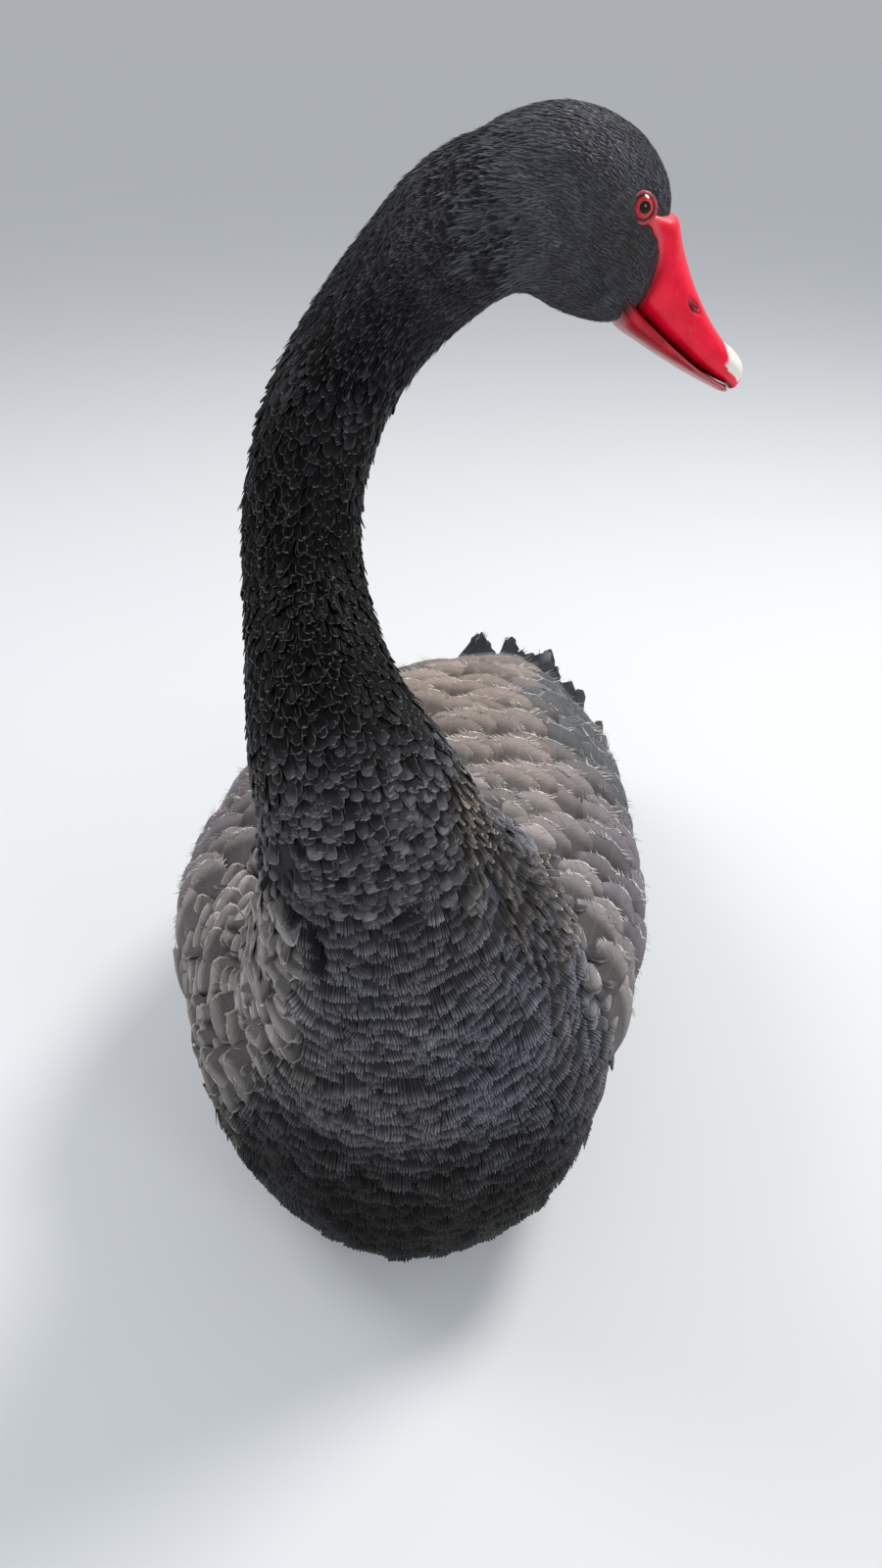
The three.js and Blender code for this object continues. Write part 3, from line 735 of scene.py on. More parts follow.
@dataclass
class FaceBuffer:
    """Points and faces of many like forms, gathered for one joined mesh."""

    layers: list[list[Array]] = field(default_factory=list)
    faces: Faces = field(default_factory=list)
    total: int = 0

    def add(
        self, points: Array, vane: Array, barb: Array, tint: Array, bake: Array, faces: Faces
    ) -> None:
        """Add one batch of like forms.

        Args:
            points: Points, as (forms, points of one form, 3).
            vane: Shares across and along, as (forms, points, 2) or one form's for all.
            barb: Millimetres across and along with an offset, as (forms, points, 2).
            tint: Colour and fringe, as (forms, 1, 4).
            bake: Each form's place on the skin's unwrap, as (forms, 2).
            faces: Faces of one form as indices, and whether each set is smooth.
        """
        count, size = points.shape[:2]
        patch = bake[:, None] + BAKE_PATCH * (vane - 0.5)
        layers = (points, vane, barb, tint, patch)
        spread = [np.broadcast_to(a, (count, size, a.shape[-1])) for a in layers]
        self.layers.append([a.reshape(-1, a.shape[-1]) for a in spread])
        starts = self.total + size * np.arange(count)
        for indices, smooth in faces:
            shifted = starts[:, None, None] + indices[None]
            self.faces.append((shifted.reshape(-1, indices.shape[1]), smooth))
        self.total += count * size

    def build(self, name: str, material: bpy.types.Material) -> bpy.types.Object:
        """Make the joined mesh.

        Args:
            name: The object's name.
            material: Its material.

        Returns:
            The object.
        """
        points, vane, barb, tint, bake = (np.concatenate(layer) for layer in zip(*self.layers))
        mesh = bpy.data.meshes.new(name)
        mesh.vertices.add(self.total)
        mesh.vertices.foreach_set("co", points.astype(np.float32).ravel())
        corners = np.concatenate([f.ravel() for f, _ in self.faces]).astype(np.int32)
        sizes = np.concatenate([np.full(len(f), f.shape[1], np.int32) for f, _ in self.faces])
        smooth = np.concatenate([np.full(len(f), s) for f, s in self.faces])
        mesh.loops.add(len(corners))
        mesh.loops.foreach_set("vertex_index", corners)
        mesh.polygons.add(len(sizes))
        mesh.polygons.foreach_set("loop_start", np.cumsum(sizes) - sizes)
        mesh.polygons.foreach_set("loop_total", sizes)
        mesh.polygons.foreach_set("use_smooth", smooth)
        mesh.update(calc_edges=True)
        for layer, places in (("Vane", vane), ("Barb", barb), ("OFBake", bake)):
            unwrap(mesh, layer, places, corners)
        paint(mesh, "Tint", tint)
        mesh.validate()
        mesh.materials.append(material)
        return link(name, mesh)


def grid_faces(rows: int, columns: int) -> Array:
    """Return the four corners of each cell of a grid of points."""
    first = (np.arange(rows - 1)[:, None] * columns + np.arange(columns - 1)).ravel()
    return np.stack([first, first + 1, first + columns + 1, first + columns], axis=1)


def ribbon_faces(rings: int, columns: int) -> Faces:
    """List the faces of a ribbon with an arched top, a flat underside and a pointed tip.

    Args:
        rings: How many rows of points it has before the tip.
        columns: How many points each row has.

    Returns:
        Sets of faces and whether they are smooth.
    """
    last, tip = (rings - 1) * columns, rings * columns
    ends = [(last + i, last + i + 1, tip) for i in range(columns - 1)]
    root = range(columns - 1, -1, -1)
    faces = [
        (np.array(ends), True),
        (np.array([(last + columns - 1, last, tip)]), False),
        (np.array([root]), False),
    ]
    if rings > 1:
        first = np.arange(rings - 1)[:, None] * columns
        under = first + np.array([0, columns, 2 * columns - 1, columns - 1])
        faces += [(grid_faces(rings, columns), True), (under, False)]
    return faces


def slab_faces(rows: int, columns: int) -> Faces:
    """List the faces of a thin slab between two grids of points, top grid first.

    Args:
        rows: Rows of each grid.
        columns: Columns of each grid.

    Returns:
        Sets of faces and whether they are smooth.
    """
    below = rows * columns
    top = grid_faces(rows, columns)
    under = below + top[:, [0, 3, 2, 1]]
    grid = np.arange(below).reshape(rows, columns)
    border = [*grid[0], *grid[1:, -1], *grid[-1, -2::-1], *grid[-2:0:-1, 0]]
    rim = [(b, a, below + a, below + b) for a, b in zip(border, border[1:] + border[:1])]
    return [(top, True), (under, True), (np.array(rim), False)]


@dataclass(frozen=True)
class Spine:
    """The line from the bill's tip through head, neck and body that the feathers follow."""

    head_from: float = 60 * MM
    head_to: float = -40 * MM
    body_from: float = -105 * MM
    body_to: float = 330 * MM
    head_steps: int = 8
    neck_steps: int = 40
    body_steps: int = 14
    # How many of the neck's last points lie so deep in the breast that the lie points down
    sunk_steps: int = 4
    fall_off: float = 4.0

    def points(self) -> tuple[Array, Array, Array]:
        """Lay out the line.

        Returns:
            Points, unit directions towards the tail and lengths from the bill's tip.
        """
        forward = np.linspace(self.head_from, self.head_to, self.head_steps)
        head = HEAD.world(np.outer(forward, (1.0, 0.0, 0.0)))
        neck, _ = NECK(np.linspace(0.93, 0.0, self.neck_steps))
        y = np.linspace(self.body_from, self.body_to, self.body_steps)
        _, _, _, middle, offset = BODY.section(y)
        body = np.stack([offset, y, middle], axis=-1)
        line = np.concatenate([head, neck, body])
        ways = unit(np.gradient(line, axis=0))
        body_first = self.head_steps + self.neck_steps
        ways[body_first - self.sunk_steps : body_first] = (0.0, 0.25, -0.97)
        ways[body_first:] = (0.0, 1.0, 0.0)
        steps = np.linalg.norm(np.diff(line, axis=0), axis=1)
        lengths = np.concatenate([[0.0], np.cumsum(steps)])
        return line, ways, lengths

    def follow(self, points: Array) -> tuple[Array, Array, Array]:
        """Find the lie at points on the skin.

        Args:
            points: The points.

        Returns:
            Directions not yet laid on the skin, lengths along the line and angles round it.
        """
        line, ways, lengths = self.points()
        far = np.linalg.norm(points[:, None] - line[None], axis=2)
        weight = 1.0 / np.maximum(far, 1e-4) ** self.fall_off
        weight /= weight.sum(axis=1, keepdims=True)
        lie = unit(weight @ ways)
        length = weight @ lengths
        centre = weight @ line
        out = points - centre
        backward_and_up = np.array([0.0, 0.35, 1.0])
        side = unit(np.cross(lie, backward_and_up))
        rise = np.cross(side, lie)
        angle = np.arctan2((out * rise).sum(1), (out * side).sum(1))
        return lie, length, angle


class SkinSurface:
    """The finished skin as a surface to set feathers on."""

    def __init__(self, piece: bpy.types.Object) -> None:
        """Read the skin's mesh."""
        mesh = piece.data
        points = np.empty(len(mesh.vertices) * 3, np.float32)
        mesh.vertices.foreach_get("co", points)
        normals = np.empty_like(points)
        mesh.vertex_normals.foreach_get("vector", normals)
        mesh.calc_loop_triangles()
        tris = np.empty(len(mesh.loop_triangles) * 3, np.int32)
        mesh.loop_triangles.foreach_get("vertices", tris)
        self.points = points.reshape(-1, 3).astype(float)
        self.normals = normals.reshape(-1, 3).astype(float)
        self.tris = tris.reshape(-1, 3)
        self.tree = BVHTree.FromPolygons(self.points.tolist(), self.tris.tolist())

    def scatter(self, rng: np.random.Generator, count: int) -> Array:
        """Draw points evenly over the skin.

        Args:
            rng: The seeded source of draws.
            count: How many.

        Returns:
            The points.
        """
        a, b, c = (self.points[self.tris[:, i]] for i in range(3))
        area = np.linalg.norm(np.cross(b - a, c - a), axis=1)
        picked = rng.choice(len(area), count, p=area / area.sum())
        u, v = rng.random(count), rng.random(count)
        over = u + v > 1
        u[over], v[over] = 1 - u[over], 1 - v[over]
        return a[picked] + (b - a)[picked] * u[:, None] + (c - a)[picked] * v[:, None]

    def nearest(self, points: Array) -> tuple[Array, Array]:
        """Bring points to the skin.

        Args:
            points: The points.

        Returns:
            The nearest points on the skin and its smooth normals there.
        """
        found = np.empty_like(points)
        faces = np.empty(len(points), int)
        find = self.tree.find_nearest
        for i, place in enumerate(points.tolist()):
            hit, _, face, _ = find(place)
            found[i] = hit
            faces[i] = face
        normals = unit(self.normals[self.tris[faces]].sum(axis=1))
        return found, normals


def thinned(points: Array, spacing: Array, rng: np.random.Generator) -> Array:
    """Keep points that stand at least their own spacing apart.

    Args:
        points: Candidates.
        spacing: The spacing wanted at each.
        rng: The seeded source of draws.

    Returns:
        The indices that are kept.
    """
    tree = KDTree(len(points))
    places = points.tolist()
    for i, place in enumerate(places):
        tree.insert(place, i)
    tree.balance()
    free = np.ones(len(points), bool)
    kept = []
    for i in rng.permutation(len(points)):
        if free[i]:
            kept.append(i)
            for _, other, _ in tree.find_range(places[i], spacing[i]):
                free[other] = False
    return np.array(kept)


@dataclass(frozen=True)
class Waves:
    """Slow, seeded variation between about -1 and 1.

    Attributes:
        scale: Length of one wave.
        seed: Which pattern.
        layers: How many waves lie over each other.
    """

    scale: float
    seed: int
    layers: int = 6

    def __call__(self, points: Array) -> Array:
        """Read the pattern.

        Args:
            points: Where to read it.

        Returns:
            One value for each point.
        """
        rng = np.random.default_rng(self.seed)
        total = np.zeros(points.shape[:-1])
        for _ in range(self.layers):
            way = rng.normal(size=3)
            way *= rng.uniform(0.6, 1.7) / self.scale
            total += np.sin(2 * np.pi * points @ way + rng.uniform(0, 2 * np.pi))
        return total / 3.0


HEAD_MOTTLE = Waves(0.022, 7)
FACE_WARMTH = Waves(0.05, 12)
BREAST_PATCHES = Waves(0.08, 3)
BELLY_SHADE_EDGE = Waves(0.05, 17)
FLANK_EDGE = Waves(0.03, 9)
FLANK_TOP = Waves(0.04, 5)
ROW_WANDER = Waves(0.11, 21)
ZONE_WANDER = Waves(0.05, 31)
VANE_SWIRL = Waves(0.06, 41)
TUFT_SWIRL = Waves(0.05, 41)

# Height, then how far to the left the neck's base meets the left wing
BORDER_LINE = ((0.190, 0.112), (0.233, 0.099), (0.272, 0.084), (0.320, 0.066), (0.372, 0.048))
# Height, then how far from the middle the paler flanks begin on the left and on the right
FLANK_LINES = (
    (0.020, 0.120, 0.105),
    (0.140, 0.115, 0.056),
    (0.182, 0.104, 0.032),
    (0.222, 0.093, 0.013),
    (0.255, 0.082, 0.009),
    (0.283, 0.076, 0.009),
    (0.301, 0.074, 0.015),
    (0.306, 0.074, 0.030),
    (0.330, 0.074, 0.060),
)


@dataclass(frozen=True)
class Plumage:
    """Tints of the whole bird, by the length along the spine and the place on the body."""

    head: Colour = (0.086, 0.086, 0.102)
    nape: Colour = (0.026, 0.0265, 0.031)
    neck: Colour = (0.0050, 0.0050, 0.0062)
    base: Colour = (0.056, 0.054, 0.061)
    breast: Colour = (0.122, 0.116, 0.128)
    # Painted shade: near black for the lower breast and belly, which face the floor
    belly: Colour = (0.0060, 0.0052, 0.0053)
    flank: Colour = (0.262, 0.232, 0.222)
    taupe: Colour = (0.235, 0.185, 0.158)
    mauve: Colour = (0.143, 0.127, 0.141)
    slate: Colour = (0.066, 0.071, 0.078)
    night: Colour = (0.0045, 0.0050, 0.0070)
    # Painted sheen: the bluish light on the breast
    blue: Colour = (0.105, 0.120, 0.165)
    brown: Colour = (0.108, 0.084, 0.068)
    belly_top: float = 0.182

    def at(self, points: Array, length: Array) -> Array:
        """Find the tint of the small feathers.

        Args:
            points: Where they grow.
            length: Their length along the spine from the bill's tip.

        Returns:
            A colour and the strength of the pale fringe for each.
        """
        stops = Curve((
            (0.00, *self.head, 0.20),
            (0.14, *self.head, 0.30),
            (0.20, *self.nape, 0.32),
            (0.25, *self.neck, 0.42),
            (0.355, *self.neck, 0.50),
            (0.395, *self.base, 0.50),
            (0.42, *self.base, 0.40),
            (0.46, *self.breast, 0.60),
            (0.90, *self.breast, 0.50),
        ))(length)
        colour, fringe = stops[:, :3], stops[:, 3]
        colour = self.patched(colour, points, length)
        z = points[:, 2]
        # Painted shade: below a wavy height the lower breast and belly, which face the floor, turn near
        # black and their fringes fade
        low = np.clip((self.belly_top - z + 0.012 * BELLY_SHADE_EDGE(points)) / 0.075, 0, 1)
        low = low * rising(length, 0.5, 0.05)
        colour = mix(colour, np.array(self.belly), low[:, None])
        fringe = fringe * (1 - 0.75 * low)
        flank = self.flanks(points) * rising(z, 0.02, 0.05)
        # Painted shade: the paler flanks darken towards the floor
        shade = np.clip((z - 0.03) / 0.13, 0.3, 1)[:, None]
        colour = mix(colour, np.array(self.flank) * shade, flank[:, None])
        fringe = mix(fringe, 0.9, flank)
        return np.concatenate([np.maximum(colour, 0.002), fringe[:, None]], axis=1)

    def patched(self, colour: Array, points: Array, length: Array) -> Array:
        """Mottle the head, warm the face with brown, and patch the breast with painted bluish sheen and
        with brown.

        Args:
            colour: The colours so far.
            points: Where the feathers grow.
            length: Their length along the spine.

        Returns:
            The colours.
        """
        mottled = 1 + 0.24 * HEAD_MOTTLE(points) * (length < 0.2)
        colour = colour * np.clip(mottled, 0.6, 1.5)[:, None]
        warm = np.clip(0.35 + FACE_WARMTH(points), 0, 1) * falling(length, 0.11, 0.04)
        colour = mix(colour, 0.72 * np.array(self.brown), 0.55 * warm[:, None])
        # Painted bluish sheen lies in patches, most on the breast's left side, and there is more brown on
        # its right
        chest = rising(length, 0.40, 0.08)
        patch = BREAST_PATCHES(points) + 4.0 * points[:, 0]
        blue_sheen = np.clip(patch, 0, 1) * 0.50 * chest
        browner = np.clip(-patch, 0, 1) * 0.40 * chest
        colour = mix(colour, np.array(self.blue), blue_sheen[:, None])
        return mix(colour, np.array(self.brown), browner[:, None])

    @staticmethod
    def flanks(points: Array) -> Array:
        """Find how far points lie on the paler flanks.

        Args:
            points: Points on the skin.

        Returns:
            Shares from 0 to 1.
        """
        x, y, z = points.T
        left_line, right_line = Curve(FLANK_LINES)(z).T
        uneven = 0.005 * FLANK_EDGE(points) * falling(z, 0.26, 0.03)
        right = np.clip((-x - right_line + uneven) / 0.014, 0, 1)
        left = np.clip((x - left_line + uneven) / 0.02, 0, 1)
        behind = rising(y, -0.215, 0.05)
        top = mix(0.308, 0.232, behind) + 0.010 * behind * FLANK_TOP(points)
        return np.maximum(right, left) * falling(z, top, 0.010)

    @staticmethod
    def border(points: Array) -> Array:
        """Return which points lie on the loose brown border of the neck's base at the left wing."""
        x, y, z = points.T
        gap = x - Curve(BORDER_LINE)(z)[..., 0]
        return (gap > -0.015) & (y < -0.13) & (z > 0.215) & (z < 0.370)

    @staticmethod
    def crease(points: Array) -> Array:
        """Return which points lie on the ragged dark border above the right flank."""
        x, y, z = points.T
        gap = x + Curve(FLANK_LINES)(z)[..., 1]
        return (gap > -0.001) & (gap < 0.007) & (y < -0.19) & (z > 0.262) & (z < 0.325)


TINTS = Plumage()


@dataclass
class Skin:
    """One closed skin for head, neck and body, inside the coat."""

    body_inset: float = 5.5 * MM
    neck_inset: float = 2.4 * MM
    head_inset: float = 1.3 * MM
    tail_inset: float = 22 * MM
    voxel: float = 2.9 * MM
    segments: int = 72
    ease: int = 6
    clearance: float = 4.0 * MM

    def rings(self) -> list[list[Array]]:
        """Lay out the rings of the three forms.

        Returns:
            A list of rings for each form.
        """
        turn = np.linspace(0, 2 * np.pi, self.segments, endpoint=False)
        return [self.body_rings(turn), self.neck_rings(turn), self.head_rings(turn)]

    def body_rings(self, turn: Array) -> list[Array]:
        """Lay out the body's rings.

        Args:
            turn: The angles round each ring.

        Returns:
            The rings, from the breast to the rump.
        """
        degrees = np.degrees(turn)
        start = BODY.stations[0][0] + self.body_inset
        end = BODY.stations[-1][0] - self.tail_inset
        shares = np.linspace(0, 1, 46)
        # The rings stand closest at the breast, and the rump is slimmer than the form
        places = start + (end - start) * shares**1.6
        taper = Curve(((0.0, 0.0), (0.7, 0.0), (1.0, 16 * MM)))
        rings = []
        for share, y in zip(shares[1:], places[1:]):
            ring = self.lifted(BODY.point(y, degrees, -self.body_inset))
            rings.append(ring - unit(ring - ring.mean(axis=0)) * taper(share))
        return rings

    def neck_rings(self, turn: Array) -> list[Array]:
        """Lay out the neck's rings.

        Args:
            turn: The angles round each ring.

        Returns:
            The rings, from inside the breast to inside the head.
        """
        rings = []
        side = np.array([1.0, 0.0, 0.0])
        for share in np.linspace(0.0, 0.985, 60):
            centre, radius = NECK(share)
            ahead, _ = NECK(min(share + 0.005, 1.0))
            behind, _ = NECK(max(share - 0.005, 0.0))
            along = unit(ahead - behind)
            side = unit(side - along * (side @ along))
            front = np.cross(along, side)
            ring = np.cos(turn)[:, None] * side + np.sin(turn)[:, None] * front
            rings.append(centre + (radius - self.neck_inset) * ring)
        return rings

    def lifted(self, ring: Array) -> Array:
        """Keep a ring off the floor, so that feathers lie between."""
        ring[:, 2] = np.maximum(ring[:, 2], self.clearance)
        return ring

    def head_rings(self, turn: Array) -> list[Array]:
        """Lay out the head's rings.

        Args:
            turn: The angles round each ring.

        Returns:
            The rings, from the face to the nape.
        """
        read = Curve(HEAD.sections[::-1])
        rings = []
        for f in np.linspace(HEAD.sections[0][0], HEAD.sections[-1][0], 30):
            top, bottom, half = read(f)
            tall = (top - bottom) / 2 - self.head_inset
            wide = half - self.head_inset
            height = (top + bottom) / 2 + tall * np.sin(turn)
            local = np.stack([np.full_like(turn, f), wide * np.cos(turn), height], axis=-1)
            rings.append(HEAD.world(local))
        # The nape ends in a smaller ring, a little farther back
        back = rings[-1]
        middle = back.mean(axis=0)
        farther = HEAD.world(np.array([[-3.5 * MM, 0, 0]])) - HEAD.world(np.zeros((1, 3)))
        rings.append(middle + 0.55 * (back - middle) + farther)
        return rings

    def build(self) -> bpy.types.Object:
        """Build the skin.

        Returns:
            The piece, which replaces the nodes of head, neck and torso.
        """
        bm = bmesh.new()
        for rings in self.rings():
            loft(bm, rings)
        bmesh.ops.recalc_face_normals(bm, faces=bm.faces)
        piece = link("skin", mesh_from(bm))
        remesh = piece.modifiers.new("one_skin", "REMESH")
        remesh.mode = "VOXEL"
        remesh.voxel_size = self.voxel
        remesh.use_smooth_shade = True
        smooth = piece.modifiers.new("ease", "SMOOTH")
        smooth.factor = 0.5
        smooth.iterations = self.ease
        applied(piece)
        self.tint(piece)
        piece.data.materials.clear()
        piece.data.materials.append(SkinFinish().material())
        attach(piece, "root")
        flesh = ("torso", "neck_base", "neck_lower", "neck_middle", "neck_upper", "head")
        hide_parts(*flesh)
        return piece

    def tint(self, piece: bpy.types.Object) -> None:
        """Give the skin the tints of the coat over it, and its own map for baking."""
        points = SkinSurface(piece).points
        _, length, angle = SPINE.follow(points)
        mesh = piece.data
        paint(mesh, "Tint", TINTS.at(points, length))
        corners = np.empty(len(mesh.loops), np.int32)
        mesh.loops.foreach_get("vertex_index", corners)
        places = np.stack([angle / (2 * np.pi) + 0.5, length / length.max()], axis=1)
        unwrap(mesh, "OFBake", places, corners)


SPINE = Spine()


@dataclass
class Lay:
    """Where a batch of small feathers grows, with the lie and the sizes of each."""

    roots: Array
    lie: Array
    length: Array
    angle: Array
    sizes: Array
    tint: Array

    def part(self, chosen: Array) -> Lay:
        """Return the feathers at the chosen indices or mask."""
        return Lay(*(getattr(self, column.name)[chosen] for column in fields(self)))

    def patches(self) -> Array:
        """Return each feather's place on the skin's unwrap for baking."""
        return np.stack([self.angle / (2 * np.pi) + 0.5, self.length / BAKE_LENGTH], axis=1)


@dataclass(frozen=True)
class WingPlan:
    """Where the folded wings lie: angles up from the widest line and edges along Y."""

    front: float = -152 * MM
    top_setback: float = 96 * MM
    low_rear: float = 158 * MM
    high_rear: float = 212 * MM
    low: float = -10.0
    high: float = 86.0

    def front_at(self, up: Array | float) -> Array | float:
        """Return the front edge at a share of the height."""
        return self.front + self.top_setback * np.clip(up, 0, 1) ** 1.6

    def rear_at(self, up: Array | float) -> Array | float:
        """Return the rear edge at a share of the height."""
        return mix(self.low_rear, self.high_rear, up)

    def covers(self, points: Array, margin: float) -> Array:
        """Find the points that lie under a wing.

        Args:
            points: Points on the body.
            margin: How far inside the edges they must lie.

        Returns:
            True for each point under a wing.
        """
        y = points[:, 1]
        wide, rise, _, middle, offset = BODY.section(y)
        across = np.abs(points[:, 0] - offset) / np.maximum(wide, MM)
        height = (points[:, 2] - middle) / np.maximum(rise, MM)
        angle = np.degrees(np.arctan2(height, across))
        up = (angle - self.low) / (self.high - self.low)
        inset = np.degrees(margin / np.maximum(wide, 20 * MM))
        inside = (angle > self.low + inset) & (angle < self.high + 3)
        on_body = points[:, 2] < middle + rise + 12 * MM
        return inside & on_body & (y > self.front_at(up) + margin) & (y < self.rear_at(up) + 30 * MM)


WING = WingPlan()


@dataclass(frozen=True)
class TuftShape:
    """A small feather made of narrow barbs side by side, each a closed sliver.

    Attributes:
        barbs: How many barbs it has.
        reach: The share of its length at which the barbs start to taper.
        spread: Its half width at root, taper and tip, as shares of its full half width.
        taper: A barb's width at its taper, as a share of its width at the root.
        rounding: How much shorter the outer barbs are.
        ragged: How unevenly the barbs end.
        arch: How far the middle stands over the edges, as a share of the half width.
        sink: How far the root lies in the skin, as a share of the tip's lift.
        curve: How late the feather rises.
    """

    barbs: int
    reach: float = 0.72
    spread: tuple[float, float, float] = (0.5, 1.0, 1.0)
    taper: float = 1.0
    rounding: float = 0.12
    ragged: float = 0.10
    arch: float = 0.14
    sink: float = 0.22
    curve: float = 1.4


@dataclass(frozen=True)
class VaneShape:
    """A small feather with a whole vane.

    Attributes:
        rows: Shares along it, each with the half width there.
        columns: How many points each row has.
        arch: How far the shaft stands over the edges, as a share of the half width.
        sink: How far the root lies in the skin, as a share of the tip's lift.
        curve: How late the feather rises.
        ragged: How unevenly its end runs, as a share of its length.
    """

    rows: Rows
    columns: int = 5
    arch: float = 0.12
    sink: float = 0.22
    curve: float = 1.5
    ragged: float = 0.045


HAIR = TuftShape(2, 0.5, (0.6, 1.0, 1.25), 0.9, 0.0, 0.25, 0.0)
SOFT = TuftShape(5, 0.66, (0.5, 1.0, 1.0), 0.95, 0.16, 0.12, 0.16)
WOVEN = TuftShape(9, 0.86, (0.7, 1.0, 1.03), 0.95, 0.10, 0.10, 0.06, sink=0.1, curve=2.8)
SCALE = VaneShape(((0.0, 0.5), (0.5, 0.95), (0.84, 0.90), (0.965, 0.50)), arch=0.20, ragged=0.02)
SHINGLE = VaneShape(
    ((0.0, 0.6), (0.5, 0.96), (0.88, 1.0), (0.98, 0.76)), arch=0.09, curve=2.0, ragged=0.03
)
BROAD = VaneShape(
    ((0.0, 0.45), (0.4, 0.88), (0.70, 1.0), (0.87, 0.88), (0.965, 0.54)),
    arch=0.03, curve=1.7, ragged=0.015,
)
VELVET = FeatherFinish("head_feathers", (0.24, 0.24, 0.27), barb_contrast=0.55, specular=0.22)
SCALES = FeatherFinish(
    "neck_feathers", (0.33, 0.30, 0.27), fringe_from=0.925, side_from=0.76, fray=0.10,
    barb_contrast=0.8, roughness=0.48, specular=0.09, inner=0.25, inner_from=0.58,
)
# The breast's pale tips are partly a paler fringe and partly painted highlight
CHEST = FeatherFinish(
    "breast_feathers", (0.42, 0.42, 0.46), fringe_from=0.84, side_from=2.0, fray=0.05,
    barb_contrast=0.7, roughness=0.5, specular=0.2, inner=0.26, inner_from=0.55,
)
FLANK = FeatherFinish(
    "flank_feathers", (0.72, 0.66, 0.60), fringe_from=0.945, side_from=0.86, fray=0.06,
    barb_contrast=0.7, roughness=0.6, specular=0.2, inner=0.42, inner_from=0.66,
)
# Name, the lengths along the spine at which it starts and ends, form, finish and slot
ZONES = (
    ("head_coat", -1.0, 0.13, HAIR, VELVET, "head_plumage"),
    ("neck_coat_upper", 0.13, 0.21, SOFT, SCALES, "neck_plumage"),
    ("neck_coat_middle", 0.21, 0.385, SCALE, SCALES, "neck_plumage"),
    ("neck_coat_lower", 0.385, 0.425, SHINGLE, SCALES, "neck_plumage"),
    ("breast_coat", 0.425, 9.0, WOVEN, CHEST, "body_plumage"),
)


